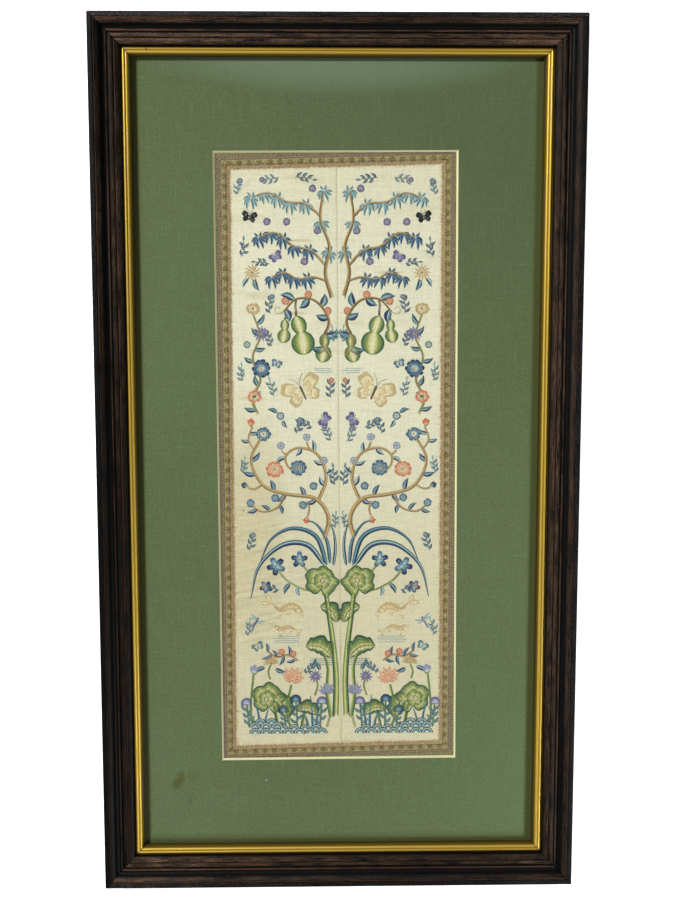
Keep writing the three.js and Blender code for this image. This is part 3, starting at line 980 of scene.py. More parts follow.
def make_mat(boards):
    """The window mat: green face, cream bevel and pale underside."""
    low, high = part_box("window_mat")
    outer = np.array([(low.x, low.y), (high.x, low.y), (high.x, high.y), (low.x, high.y)]) / MM
    loops = (
        at_height(outer, MAT_LOW),
        at_height(outer, MAT_TOP),
        at_height(window_outline(-0.1), MAT_TOP),
        at_height(window_outline(0.1), MAT_TOP - 0.08),
        at_height(window_outline(BEVEL_WIDTH), MAT_TOP - BEVEL_DEPTH),
        at_height(window_outline(BEVEL_WIDTH), MAT_LOW),
    )
    faces = []
    rings = len(loops)
    for k in range(rings):
        here, there = k * 4, (k + 1) % rings * 4
        for i in range(4):
            faces.append((here + i, here + (i + 1) % 4, there + (i + 1) % 4, there + i))
    materials = (linen_face(boards), cut_core(boards))
    points = np.vstack(loops)
    piece = make_piece("mat_linen_face", points, faces, materials, smooth_faces=False)
    for face in piece.data.polygons:
        face.material_index = 0 if face.index // 4 == 1 else 1
    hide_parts("window_mat")
    return piece


# The hair's curl on the linen, and how thick it is.
HAIR_CURL = ((-148.2, -318.9), (-144.4, -318.3), (-141.9, -321.6), (-142.0, -328.6))
HAIR_WIDTH = 0.13


def make_hair():
    """A short dark hair caught on the linen."""
    line = soft_line(HAIR_CURL, 24)
    middle = np.column_stack([line, np.full(len(line), MAT_TOP + HAIR_WIDTH)])
    aside = np.column_stack([sideways(line), np.zeros(len(line))]) * HAIR_WIDTH
    lift = np.array([0, 0, HAIR_WIDTH * 0.6])
    rows = np.stack([middle + aside, middle + lift, middle - aside, middle - lift, middle + aside])
    faces = grid_faces(len(rows), len(line))
    material = loose_fibre("dark_hair", "2b2418")
    return make_piece("mat_hair", rows.reshape(-1, 3), faces, [material])


def silk_panel(side, material):
    """One silk band from under the ribbon to the seam, over the part's puckers."""
    bottom_left, bottom_right, top_right, top_left = SILK_CORNERS
    low = np.array([SEAM_BOTTOM_X, across_line(bottom_left, bottom_right, SEAM_BOTTOM_X)])
    high = np.array([SEAM_TOP_X, across_line(top_left, top_right, SEAM_TOP_X)])
    half = np.array([GAP / 4, 0])
    if side == "left":
        corners = (bottom_left, low - half, high - half, top_left)
    else:
        corners = (low + half, bottom_right, top_right, high + half)
    columns = int(np.linalg.norm(corners[1] - corners[0]) / CLOTH_STEP)
    rows = int(np.linalg.norm(corners[3] - corners[0]) / CLOTH_STEP)
    u, v = np.meshgrid(np.linspace(0, 1, columns), np.linspace(0, 1, rows))
    base = corners[0] + (corners[1] - corners[0]) * u[..., None]
    head = corners[3] + (corners[2] - corners[3]) * u[..., None]
    flat = base + (head - base) * v[..., None]
    nudge = 1e-4 * (1 if side == "right" else -1)
    z = silk_height(flat[..., 0] + nudge, flat[..., 1])
    points = np.concatenate([flat, z[..., None]], axis=-1).reshape(-1, 3)
    name = f"silk_{side}_cloth"
    piece = make_piece(name, points, grid_faces(rows, columns), [material])
    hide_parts(f"silk_{side}")
    return piece


def ribbon_relief(along, depth, pitch):
    """Height of the ribbon's weave above its ground, from 0 to 1. depth is from its inner edge."""
    cell = (along / pitch - np.floor(along / pitch) - 0.5) * pitch
    leaf = np.exp(-((cell / 2.2) ** 4) - ((depth - 6.3) / 1.3) ** 4)
    fork = 0.8 * np.exp(-((cell / 2.4) ** 4) - ((depth - 4.1) / 0.9) ** 4)
    link = np.abs(np.sin(along * math.pi / CHAIN_PITCH))
    chain = 0.8 * np.exp(-(((np.abs(depth - CHAIN_DEPTH) - link) / 0.5) ** 2))
    beads = 0.5 * (1 - np.cos(along * 2 * math.pi / BEAD_PITCH))
    beads = beads * np.exp(-(((depth - BEAD_DEPTH) / 0.9) ** 2))
    ribs = 0.12 * np.sin(along * 2 * math.pi / 1.6) * np.sin(depth * 2 * math.pi / 2.1)
    return np.clip(0.25 + np.maximum.reduce([leaf, fork, chain, beads]) * 0.7 + ribs, 0, 1)


def ribbon_strip(index, name, material, pitch):
    """One length of ribbon, mitred at both ends, with its edges turned down to the silk."""
    inner, outer = FIELD, SILK_CORNERS
    after = (index + 1) % 4
    direction = unit(inner[after] - inner[index])
    trim = direction * 0.08
    starts = outer[index] + trim, inner[index] + trim
    ends = outer[after] - trim, inner[after] - trim
    rows = int(np.linalg.norm(ends[0] - starts[0]) / RIBBON_STEP)
    t, a = np.meshgrid(np.linspace(0, 1, rows), np.linspace(0, 1, RIBBON_COLUMNS), indexing="ij")
    low = starts[0] + (ends[0] - starts[0]) * t[..., None]
    high = starts[1] + (ends[1] - starts[1]) * t[..., None]
    flat = low + (high - low) * a[..., None]
    depth = (1 - a) * RIBBON_WIDTH
    along = (flat - (inner[index] + inner[after]) / 2) @ direction
    random = np.random.default_rng(40 + index)
    inward = np.array([-direction[1], direction[0]])
    steps = np.arange(rows) / rows * np.linalg.norm(ends[0] - starts[0])
    ragged = sum(
        random.uniform(0.12, 0.34) * np.sin(steps * 2 * math.pi / wave + random.uniform(0, 6.3))
        for wave in (3.1, 5.3, 9.7, 23.0, 61.0)
    )
    ragged = ragged + random.normal(0, 0.22, rows)
    flat = flat + inward * (ragged[:, None] * smooth(a, 0.8, 1.0))[..., None]
    relief = ribbon_relief(along, depth, pitch)
    z = RIBBON_LOW + 0.35 + 0.55 * relief
    z = SILK_TOP + 0.04 + (z - SILK_TOP - 0.04) * smooth(depth, -0.3, 4.6)
    z = z + (RIBBON_TOP + 0.15 - z) * smooth(depth, 10.0, 13.5)
    points = np.concatenate([flat, z[..., None]], axis=-1)
    outer_edge = points[:, :1].copy()
    outer_edge[..., 2] = RIBBON_LOW + 0.02
    points = np.concatenate([outer_edge, points], axis=1)
    along = np.concatenate([along[:, :1], along], axis=1)
    depth = np.concatenate([depth[:, :1] + 0.5, depth], axis=1)
    weave = np.stack([along, depth, np.full_like(along, 11.0 * index)], axis=-1)
    columns = RIBBON_COLUMNS + 1
    faces = grid_faces(rows, columns)[:, ::-1]
    marks = {"weave": weave.reshape(-1, 3)}
    piece = make_piece(f"ribbon_{name}_weave", points.reshape(-1, 3), faces, [material], marks)
    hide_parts(f"ribbon_{name}")
    return piece


RIBBON_SIDES = ("bottom", "right", "top", "left")


# ---- Embroidery ----

# A stitch is a low ridge of eight points: both of its ends dive into the silk.
STITCH_ALONG = np.array([0.0, 0.18, 0.18, 0.18, 0.82, 0.82, 0.82, 1.0])
STITCH_ACROSS = np.array([0.0, -0.5, 0.0, 0.5, -0.5, 0.0, 0.5, 0.0])
STITCH_LIFT = np.array([-0.6, 1.0, 1.0, 1.0, 1.0, 1.0, 1.0, -0.6])
STITCH_CROWN = np.array([0.0, 0.0, 0.13, 0.0, 0.0, 0.13, 0.0, 0.0])
STITCH_FACES = np.array(
    [(0, 1, 2), (0, 2, 3), (1, 4, 5), (1, 5, 2), (2, 5, 6), (2, 6, 3), (4, 7, 5), (5, 7, 6)]
)
LONGEST_STITCH = 7.0

SILK_NAMES = (
    "navy steel sky ice teal bottle leaf olive lime cream straw gold bark coral blush lilac violet black"
).split()
# Silks shaded or dyed between two others, as shares of them.
BLENDS = {
    "bronze": {"bark": 0.5, "gold": 0.5},
    "honey": {"straw": 0.5, "gold": 0.5},
    "wheat": {"straw": 0.6, "gold": 0.4},
    "amber": {"straw": 0.4, "gold": 0.6},
    "dusk": {"steel": 0.6, "gold": 0.4},
    "moss": {"teal": 0.6, "gold": 0.4},
    "outline": {"bottle": 0.6},
    "umber": {"bark": 0.8},
    "soot": {"black": 1.6},
}


def spread(line):
    """Distance along a line at each of its points, from 0 to 1."""
    total = np.concatenate([[0], np.cumsum(step_lengths(line))])
    return total / max(total[-1], 1e-9)


def sample(line, t, own=None):
    """Points at the shares t of a line."""
    own = spread(line) if own is None else own
    return np.stack([np.interp(t, own, line[:, 0]), np.interp(t, own, line[:, 1])], axis=1)


def soft_line(points, count=40):
    """A smooth line through a few points."""
    points = np.asarray(points, float)
    if len(points) == 2:
        return points[0] + (points[1] - points[0]) * np.linspace(0, 1, count)[:, None]
    padded = np.vstack([2 * points[0] - points[1], points, 2 * points[-1] - points[-2]])
    result = []
    spans = len(points) - 1
    for k in range(spans):
        before, start, end, after = padded[k : k + 4]
        t = np.linspace(0, 1, max(3, count // spans), endpoint=k == spans - 1)[:, None]
        curve = 2 * start + (end - before) * t
        curve += (2 * before - 5 * start + 4 * end - after) * t**2
        curve += (3 * start - before - 3 * end + after) * t**3
        result.append(curve / 2)
    return np.vstack(result)


def sideways(line):
    """Unit vectors to the left of a line."""
    ahead = np.gradient(line, axis=0)
    ahead /= np.maximum(np.linalg.norm(ahead, axis=1, keepdims=True), 1e-9)
    return np.stack([-ahead[:, 1], ahead[:, 0]], axis=1)


def placed(points, at, turn):
    """Points drawn along X from the origin, set down at a place and a turn in degrees."""
    points = np.asarray(points, float)
    c, s = toward(turn, 1)
    return np.stack([points[:, 0] * c - points[:, 1] * s, points[:, 0] * s + points[:, 1] * c], 1) + at


def heading(ahead):
    """The turn of a vector, in degrees."""
    return math.degrees(math.atan2(ahead[1], ahead[0]))


class Needlework:
    """Collects stitches for one side, as distances out from the seam, and joins them in one mesh."""

    def __init__(self, side, seed, threads):
        self.side = side
        self.random = np.random.default_rng(seed)
        self.pitch = threads.stitch_pitch / MM
        self.width = threads.thread_width / MM
        self.silks = {name: np.array(getattr(threads, name)) for name in SILK_NAMES}
        for blend, shares in BLENDS.items():
            self.silks[blend] = sum(self.silks[name] * part for name, part in shares.items())
        self.rows = []

    def lay(self, start, end, first, last, width=None, lift=0.16):
        """Lays one stitch from each start to each end, dyed from the first colour to the last."""
        count = len(start)
        shade = 1 + self.random.normal(0, 0.07, (count, 1))
        width = self.width if width is None else width
        size = np.broadcast_to((width, lift), (count, 2))
        ends = [np.clip(np.broadcast_to(dye, (count, 3)) * shade, 0, 1) for dye in (first, last)]
        self.rows.append(np.column_stack([start, end, size, *ends]))

    def satin(self, start, end, tones, cuts=None, lift=0.16, ragged=0.45):
        """Fills the ground between two edges with stitches that run from start to end."""
        names = tones.split() if isinstance(tones, str) else tones
        tones = [self.silks[name] for name in names]
        cuts = np.linspace(0, 1, len(tones) + 1) if cuts is None else cuts
        for k, tone in enumerate(tones):
            near = start + (end - start) * cuts[k]
            far = start + (end - start) * cuts[k + 1]
            steps = np.maximum(step_lengths(near), step_lengths(far))
            own = np.concatenate([[0], np.cumsum(steps)])
            count = max(2, int(own[-1] / self.pitch))
            t = (np.arange(count) + 0.5) / count * own[-1]
            near, far = sample(near, t, own), sample(far, t, own)
            reach = np.linalg.norm(far - near, axis=1, keepdims=True)
            ahead = (far - near) / np.maximum(reach, 1e-6)
            loose = self.random.normal(0, 1, (count, 2))
            first_soft = 0.06 if k == 0 else ragged
            last_soft = 0.06 if k == len(tones) - 1 else ragged
            near = near - ahead * np.abs(loose[:, :1]) * first_soft
            far = far + ahead * np.abs(loose[:, 1:]) * last_soft
            later = tones[min(k + 1, len(tones) - 1)]
            fade = tone + (later - tone) * 0.3
            self.run(near, far, tone, fade, lift)

    def run(self, near, far, first, last, lift):
        """Lays stitches, and breaks those that are too long to lie flat."""
        reach = np.linalg.norm(far - near, axis=1)
        parts = max(1, math.ceil(np.median(reach) / LONGEST_STITCH))
        edges = [np.zeros(len(near))]
        for k in range(1, parts):
            edges.append(k / parts + self.random.uniform(-0.3, 0.3, len(near)) / parts)
        edges.append(np.ones(len(near)))
        for low, high in zip(edges[:-1], edges[1:]):
            a = near + (far - near) * low[:, None]
            b = near + (far - near) * np.minimum(high + 0.04 * (high < 1), 1)[:, None]
            ends = first + (last - first) * float(np.mean(low)), first + (last - first) * float(np.mean(high))
            self.lay(a, b, *ends, lift=lift)

    def thread(self, line, tone, width=None, lift=0.22, reach=2.6):
        """One fine line of stem stitches."""
        line, tone = np.asarray(line, float), self.silks[tone]
        total = step_lengths(line).sum()
        count = max(1, round(total / (reach * 0.7)))
        starts = np.arange(count) / count
        ends = np.minimum(starts + reach / max(total, reach), 1.0)
        self.lay(sample(line, starts), sample(line, ends), tone, tone, width, lift)

    def stem(self, line, widths, tones, lift=0.2):
        """A branch or stalk: rows of stem stitch side by side, tapering from one width to the other."""
        tones = tones.split()
        normal = sideways(line)
        breadth = np.interp(spread(line), [0, 1], widths)
        rows = max(1, round(max(widths) / (self.width * 0.85)))
        for k in range(rows):
            offset = 0 if rows == 1 else k / (rows - 1) - 0.5
            row = line + normal * (breadth * offset)[:, None]
            tone = tones[min(int(k / rows * len(tones)), len(tones) - 1)]
            shift = self.random.uniform(0, 0.04)
            keep = sample(row, np.linspace(shift, 1, len(row)))
            self.thread(keep, tone, None, lift, 3.2)

    def knot(self, at, tone, size=0.9):
        """A small knot of three crossed stitches."""
        for turn in (10, 70, 130):
            arm = toward(turn, size / 2)
            self.lay([at - arm], [at + arm], self.silks[tone], self.silks[tone], size * 0.5, 0.34)

    def half(self, axis, width, profile, tones, side, cuts=None, slant=0.12, vein=0.14, lift=0.16):
        """One half of a leaf or petal: stitches slant from its middle line out to its edge."""
        axis = np.asarray(axis, float)
        t = np.linspace(0, 1, 48)
        spine = sample(axis, t)
        normal = sideways(spine) * side
        margin = spine + normal * (width / 2 * profile(t))[:, None]
        outer = sample(margin, np.clip(t + slant, 0, 1), t)
        self.satin(spine + normal * vein, outer, tones, cuts, lift)

    def blade(self, axis, width, profile, tones, other=None, **rest):
        """A whole leaf in two halves, with a fine gap along its middle line."""
        self.half(axis, width, profile, tones, 1, **rest)
        self.half(axis, width, profile, other or tones, -1, **rest)

    def fan(self, at, turn, length, width, tones, root=0.12, notch=0.0, lift=0.18, edge=None):
        """A petal, wing or fin whose stitches spread from its root to its rim."""
        t = np.linspace(-1, 1, 41)
        rim_x = length * (0.42 + 0.58 * np.cos(t * math.pi / 2) ** 0.7 - notch * np.exp(-((t / 0.25) ** 2)))
        rim_y = width / 2 * np.sin(t * math.pi / 2) * (0.80 + 0.20 * np.cos(t * math.pi / 2))
        rim = placed(np.stack([rim_x, rim_y], 1), at, turn)
        base = placed(np.stack([0 * t + length * 0.04, width * root / 2 * t], 1), at, turn)
        self.satin(rim, base, tones, None, lift, ragged=0.3)
        if edge is not None:
            self.thread(rim, edge, 0.42, lift + 0.14)

    def mesh(self, name, material):
        """Joins the stitches into one piece that lies on the silk."""
        table = np.vstack(self.rows)
        start, end = table[:, 0:2].copy(), table[:, 2:4].copy()
        for places in (start, end):
            places[:, 0] = seam_x(places[:, 1]) + self.side * places[:, 0]
        width, lift = table[:, 4, None], table[:, 5, None]
        first, last = table[:, None, 6:9], table[:, None, 9:12]
        ahead = end - start
        ahead /= np.maximum(np.linalg.norm(ahead, axis=1, keepdims=True), 1e-6)
        normal = np.stack([-ahead[:, 1], ahead[:, 0]], 1)
        along = STITCH_ALONG[None, :, None]
        flat = start[:, None] + (end - start)[:, None] * along
        flat = flat + normal[:, None] * (width * STITCH_ACROSS)[..., None]
        rise = silk_height(flat[..., 0], flat[..., 1]) + lift * STITCH_LIFT + STITCH_CROWN
        points = np.concatenate([flat, rise[..., None]], axis=-1).reshape(-1, 3)
        dye = (first + (last - first) * along).reshape(-1, 3)
        dye = np.column_stack([dye, np.ones(len(dye))])
        count = len(STITCH_ALONG)
        faces = (STITCH_FACES[None] + count * np.arange(len(table))[:, None, None]).reshape(-1, 3)
        piece = make_piece(name, points, faces, [material], {"dye": dye})
        flat_map(piece)
        return piece


# Outlines: half width along a leaf, petal or body, from 0 at its root to 0 at its tip.


def leaf_shape(t):
    return np.sin(math.pi * t**0.85) ** 0.9


def blade_shape(t):
    return np.sin(math.pi * t**0.55) ** 0.8 * (1 - 0.25 * t)


def fish_shape(t):
    return np.sin(math.pi * t**0.62) ** 0.75 * (1 - 0.35 * t) + 0.12 * (t > 0.9)


def gourd_shape(t):
    lower = np.sqrt(np.clip(1 - ((t - 0.29) / 0.29) ** 2, 0, 1))
    upper = 0.66 * np.sqrt(np.clip(1 - ((t - 0.76) / 0.23) ** 2, 0, 1))
    waist = 0.34 * ((t > 0.05) & (t < 0.97))
    return np.maximum.reduce([lower, upper, waist])
# ---- Motifs ----
# Colours are given as the names of silks, from a stitch's start to its end or from one edge to the next.

# Flowers under this radius are worked in two colours only.
SMALL_FLOWER = 5.0
PETALS = 5


def midline(at, turn, length, bend):
    """The bent middle line of a leaf, a fruit or a stem."""
    return placed(soft_line([(0, 0), (length * 0.5, length * bend), (length, 0)]), at, turn)


def leaf(work, at, turn, length, width, tones, other=None, bend=0.12):
    """A broad leaf in two slanting halves."""
    work.blade(midline(at, turn, length, bend), width, leaf_shape, tones, other)


def slender_leaf(work, at, turn, length, width, tones, bend=0.06):
    """A narrow leaf worked straight across in short slanting stitches."""
    t = np.linspace(0, 1, 24)
    spine = sample(midline(at, turn, length, bend), t)
    normal = sideways(spine) * (width / 2 * leaf_shape(t))[:, None]
    over = np.clip(t + 0.16, 0, 1)
    work.satin(spine - normal, sample(spine + normal, over, t), tones, ragged=0.2)


def spray(work, at, turn, count, opening, length, tones, width):
    """A fan of narrow leaves from one point, longest in the middle."""
    for k in range(count):
        part = k / max(count - 1, 1) - 0.5
        reach = length * (1 - 0.35 * abs(part) * 2) * work.random.uniform(0.9, 1.08)
        angle = turn + opening * part + work.random.uniform(-4, 4)
        root = at + toward(angle, 0.6)
        slender_leaf(work, root, angle, reach, width, tones, 0.10 * (1 if part > 0 else -1))


def twig(work, points, widths, tones):
    """A branch or stalk through a few points, and its line for hanging leaves on it."""
    line = soft_line(points)
    work.stem(line, widths, tones)
    return line


def leaves_along(work, line, places, length, width, tones, other, angle=52):
    """Leaves along a twig, by turns on one side and the other."""
    own = spread(line)
    for k, place in enumerate(places):
        at = sample(line, [place], own)[0]
        ahead = sample(line, [min(place + 0.02, 1.0)], own)[0] - sample(line, [place - 0.02], own)[0]
        side = 1 if k % 2 else -1
        turn = heading(ahead) + side * (angle + work.random.uniform(-8, 8))
        reach = length * work.random.uniform(0.85, 1.1)
        leaf(work, at, turn, reach, width, tones, other, 0.10 * side)


def blossom(work, at, radius, tones, heart="gold", turn=0.0):
    """An open flower of separate petals with fine stamens and knots at its heart."""
    breadth = 1.64 * radius * math.sin(math.pi / PETALS)
    tones = tones.split()[:2] if radius < SMALL_FLOWER else tones
    for k in range(PETALS):
        angle = turn + 360 * k / PETALS + work.random.uniform(-5, 5)
        reach = radius * work.random.uniform(0.74, 0.86)
        work.fan(at + toward(angle, radius * 0.16), angle, reach, breadth, tones, 0.3, 0.14)
    for k in range(PETALS):
        stamen = at + toward(turn + 360 * (k + 0.5) / PETALS, radius * 0.5)
        work.thread([at, stamen], heart, 0.3, 0.36)
        work.knot(stamen, heart, 0.55)
    work.knot(at, heart, radius * 0.14 + 0.35)


def rosette(work, at, radius, rings, heart="gold", squash=0.86):
    """A full flower: rings of notched petals with silk between them, the outer ones first. Each
    ring is share, petals and colours."""
    for ring, (part, lobes, tones) in enumerate(rings):
        for k in range(lobes):
            angle = 360 * (k + 0.5 * (ring % 2)) / lobes + work.random.uniform(-6, 6)
            reach = radius * part * work.random.uniform(0.92, 1.06)
            root = at + toward(angle, reach * 0.42) * (1, squash)
            breadth = 1.62 * reach * math.sin(math.pi / lobes)
            lift = 0.18 + 0.08 * ring
            work.fan(root, angle, reach * 0.56, breadth, tones, 0.4, 0.12, lift, tones.split()[-1])
    for k in range(5):
        work.knot(at + toward(72 * k, radius * 0.10), heart, 0.9)


def daisy(work, at, radius, petals, tones, heart="gold", turn=90.0, opening=360.0):
    """Narrow petals, all the way round or as a half flower seen from the side."""
    for layer, part in enumerate((1.0, 0.68)):
        count = petals - 3 * layer
        for k in range(count):
            angle = turn + opening * ((k + 0.5 * layer) / count - (0.5 if opening < 360 else 0))
            root = at + toward(angle, radius * 0.16)
            slender_leaf(work, root, angle, radius * part * 0.86, 1.5, tones, 0.04)
    for k in range(4):
        work.knot(at + toward(90 * k, 0.7), heart, 1.0)


def bud(work, at, turn, size, tones, calyx="olive leaf"):
    """A closed flower in its calyx."""
    for angle, part in ((-26, 0.85), (26, 0.85), (0, 1.0)):
        work.fan(at, turn + angle, size * part, size * 0.55, tones)
    for angle in (-38, 0, 38):
        slender_leaf(work, at - toward(turn, size * 0.12), turn + angle, size * 0.5, size * 0.26, calyx)


def lotus(work, at, turn, size, tones):
    """A lotus seen from the side: pointed petals behind, then the cupped ones in front."""
    petals = ((-66, 0.86), (66, 0.86), (-38, 1.0), (38, 1.0), (-13, 1.02), (13, 1.02))
    petals += ((-86, 0.62), (86, 0.62), (-52, 0.66), (52, 0.66), (0, 0.78), (-26, 0.70), (26, 0.70))
    for layer, (angle, part) in enumerate(petals):
        axis = placed([(0.8, 0), (size * part * 0.5, 0), (size * part, 0)], at, turn + angle)
        lift = 0.16 + 0.012 * layer
        work.blade(axis, size * 0.42, blade_shape, tones, slant=0.05, lift=lift, vein=0.08)
    for angle in (-70, -35, 0, 35, 70):
        root = at - toward(turn, size * 0.06)
        slender_leaf(work, root, turn + angle, size * 0.32, 1.7, "leaf olive")


def lotus_leaf(work, at, radius, squash, turn, dip):
    """A large leaf from above: a lobed rim with a cleft, rings of green and pale veins."""
    angle = np.linspace(0, 2 * math.pi, 145)
    wavy = 1 + 0.085 * np.cos(5 * angle + turn) + 0.05 * np.cos(9 * angle + 1) + 0.02 * np.cos(17 * angle)
    wavy = wavy * (1 - 0.42 * np.exp(-(((angle - 4.4) / 0.16) ** 2)))
    ring = np.stack([np.cos(angle), np.sin(angle) * squash], 1)
    rim = placed(ring * (radius * wavy)[:, None], at, turn)
    heart = placed(ring * radius * 0.13 * (1.0, 1.7) + np.array(dip) * radius, at, turn)
    cuts = [0, 0.10, 0.25, 0.40, 0.55, 0.68, 0.84, 1.0]
    work.satin(rim, heart, "bottle leaf olive lime leaf olive lime", cuts, ragged=0.16)
    work.thread(rim, "outline", 0.5, 0.3)
    work.thread(heart, "umber", 0.55, 0.42)
    work.knot(heart.mean(axis=0), "bottle", 1.0)
    for k in range(11):
        near, far = heart[int(k / 11 * 144)], rim[int(k / 11 * 144)]
        bend = sideways(np.array([near, far]))[0] * radius * 0.05 * (1 if k % 2 else -1)
        vein = soft_line([near, (near + far) / 2 + bend, near + (far - near) * 0.86], 8)
        work.thread(vein, "cream" if k % 2 else "bottle", 0.34, 0.42)


def folded_leaf(work, at, turn, length, width):
    """A large leaf from the side: a dark lobed half behind and a pale one folded over it."""
    t = np.linspace(0, 1, 60)
    spine = sample(midline(at, turn, length, 0.16), t)
    lobes = 1 + 0.13 * np.cos(22 * t) + 0.06 * np.cos(37 * t)
    for side, part, tones in ((1, 1.0, "lime olive leaf bottle"), (-1, 0.62, "lime cream lime leaf bottle")):
        away = sideways(spine) * side * (width * part * np.sin(math.pi * t) ** 0.55 * lobes)[:, None]
        rim = spine + away
        work.satin(spine, rim, tones, ragged=0.2)
        work.thread(rim, "outline", 0.45, 0.3)
        for k in range(6, 56, 8):
            work.thread([spine[k], spine[k] + away[k] * 0.8], "bottle", 0.3, 0.4)
    work.thread(spine, "bark", 0.5, 0.42)


def sprig(work, at, turn, length, tones, other, stalk, bloom):
    """A short stem with small leaves, and a flower or a last leaf at its tip."""
    line = midline(at, turn, length, work.random.uniform(-0.16, 0.16))
    work.stem(line, (0.9, 0.5), stalk)
    leaves_along(work, line, (0.14, 0.30, 0.46, 0.62, 0.78), length * 0.34, 2.5, tones, other, 46)
    if bloom is not None:
        blossom(work, line[-1], 2.9, bloom, turn=turn)
    else:
        slender_leaf(work, line[-1], turn, length * 0.3, 2.0, tones)


def aster_plant(work, x, foot, height, tones, lean):
    """A small plant: a leafy stem with a round flower of narrow petals on top."""
    points = [(x, foot), (x + lean * 0.3, foot + height * 0.5), (x + lean, foot + height)]
    line = twig(work, points, (1.1, 0.8), "leaf teal")
    places = (0.16, 0.3, 0.44, 0.58, 0.72)
    leaves_along(work, line, places, height * 0.3, 2.8, "sky teal", "teal steel", 50)
    tones = tones.split()
    for layer, (reach, count) in enumerate(((6.0, 9), (4.2, 7))):
        for k in range(count):
            angle = 90 + 250 * ((k + 0.5) / count - 0.5)
            lift = 0.2 + 0.1 * layer
            work.fan(line[-1], angle, reach, reach * 0.46, tones[layer : layer + 2], 0.2, 0.1, lift)
    work.knot(line[-1], "gold", 1.1)


def butterfly(work, at, turn, size, tones, body, spots=0):
    """Four spread wings, a body and two feelers."""
    wings = ((58, 1.0, 0.72), (-58, 1.0, 0.72), (118, 0.74, 0.62), (-118, 0.74, 0.62))
    for angle, part, breadth in wings:
        root = at + toward(turn + angle, size * 0.06)
        work.fan(root, turn + angle, size * part, size * breadth, tones, notch=0.08)
        for k in range(spots):
            reach = size * part * (0.34 + 0.20 * (k % 3))
            work.knot(at + toward(turn + angle + 17 * ((k % 4) - 1.5), reach), body, 0.9)
    axis = soft_line([at - toward(turn, size * 0.38), at + toward(turn, size * 0.30)])
    work.stem(axis, (size * 0.03, size * 0.075), body, lift=0.4)
    for angle in (-24, 24):
        feeler = ((0, 0.3), (angle * 0.5, 0.6), (angle, 0.86))
        work.thread(soft_line([at + toward(turn + aside, size * part) for aside, part in feeler]), body, 0.35)


def carp(work, points, size, flip=1):
    """A swimming fish: scaled body, forked tail, back fin, small fins, gill and eye."""
    axis = soft_line(points, 60)
    normal = sideways(axis) * flip
    t = spread(axis)
    along = heading(axis[-1] - axis[-6])

    def on_body(place, side=0.0):
        """A point along the fish, off its middle line to one side."""
        return sample(axis, [place])[0] + sample(normal, [place], t)[0] * side

    for angle in (26, -26):
        root = axis[-1] - toward(along, 1.6)
        work.fan(root, along + angle, size * 0.30, size * 0.13, "cream straw", 0.2, 0.0, 0.16, "gold")
    rise = size * 0.165 * fish_shape(t)
    fin = np.clip((t - 0.26) * (0.72 - t) * 19, 0, 1)[:, None] * normal * size * 0.10
    crest = axis + normal * rise[:, None] * 0.9
    work.satin(crest[16:44], (crest + fin)[14:42], "straw cream", ragged=0.2)
    for k in range(17, 42, 4):
        work.thread([crest[k], (crest + fin)[k - 2]], "gold", 0.28, 0.4)
    for place, lean in ((0.30, -52), (0.64, -44)):
        turn = heading(on_body(place + 0.03) - on_body(place)) + lean * flip
        root = on_body(place, -size * 0.12)
        work.fan(root, turn, size * 0.17, size * 0.09, "cream straw", 0.3, edge="gold")
    work.half(axis, size * 0.33, fish_shape, "cream straw honey", flip, slant=0.05, vein=0.0)
    work.half(axis, size * 0.29, fish_shape, "straw cream", -flip, slant=0.05, vein=0.0)
    for row in (-0.5, 0.0, 0.5):
        for k in range(8):
            place = 0.27 + 0.075 * (k + (0.5 if row else 0.0))
            centre = on_body(place, row * size * 0.15 * (1.1 - place))
            arc = [centre + toward(along + turn, size * 0.032) for turn in (-80, 0, 80)]
            work.thread(soft_line(arc, 6), "bronze", 0.3, 0.4)
    work.knot(on_body(0.10) + normal[4] * size * 0.035, "black", 1.1)
    gill, half = on_body(0.2), normal[12] * size * 0.1
    work.thread(soft_line([gill - half, gill + toward(along, 1.2), gill + half]), "bark", 0.4, 0.4)
    for side in (1, -1):
        tip = axis[0] + (axis[0] - axis[3]) * 1.2 + normal[0] * side * 1.6
        work.thread(soft_line([axis[0], tip]), "gold", 0.3)


def dragonfly(work, at, turn, size):
    """Four narrow wings on a long body."""
    for angle, part in ((70, 1.0), (-70, 1.0), (100, 0.85), (-100, 0.85)):
        slender_leaf(work, at, turn + angle, size * part, size * 0.2, "ice sky", 0.03)
    axis = soft_line([at + toward(turn, size * 0.3), at - toward(turn, size * 1.1)])
    work.stem(axis, (1.4, 0.6), "violet lilac", lift=0.4)
    work.knot(axis[0], "navy", 1.4)


def gourd(work, at, turn, length, width):
    """A bottle gourd in bands of green from its pale middle to its dark edge."""
    axis = midline(at, turn, length, 0.04)
    cuts = [0, 0.22, 0.42, 0.62, 0.84, 1.0]
    tones = "cream lime olive leaf bottle"
    work.blade(axis, width, gourd_shape, tones, slant=0.0, cuts=cuts, vein=0.05)
    work.stem(placed([(length, 0), (length * 1.12, length * 0.03)], at, turn), (1.6, 1.0), "bark")


SCALE_RADIUS, SCALE_ROWS = 5.6, 2


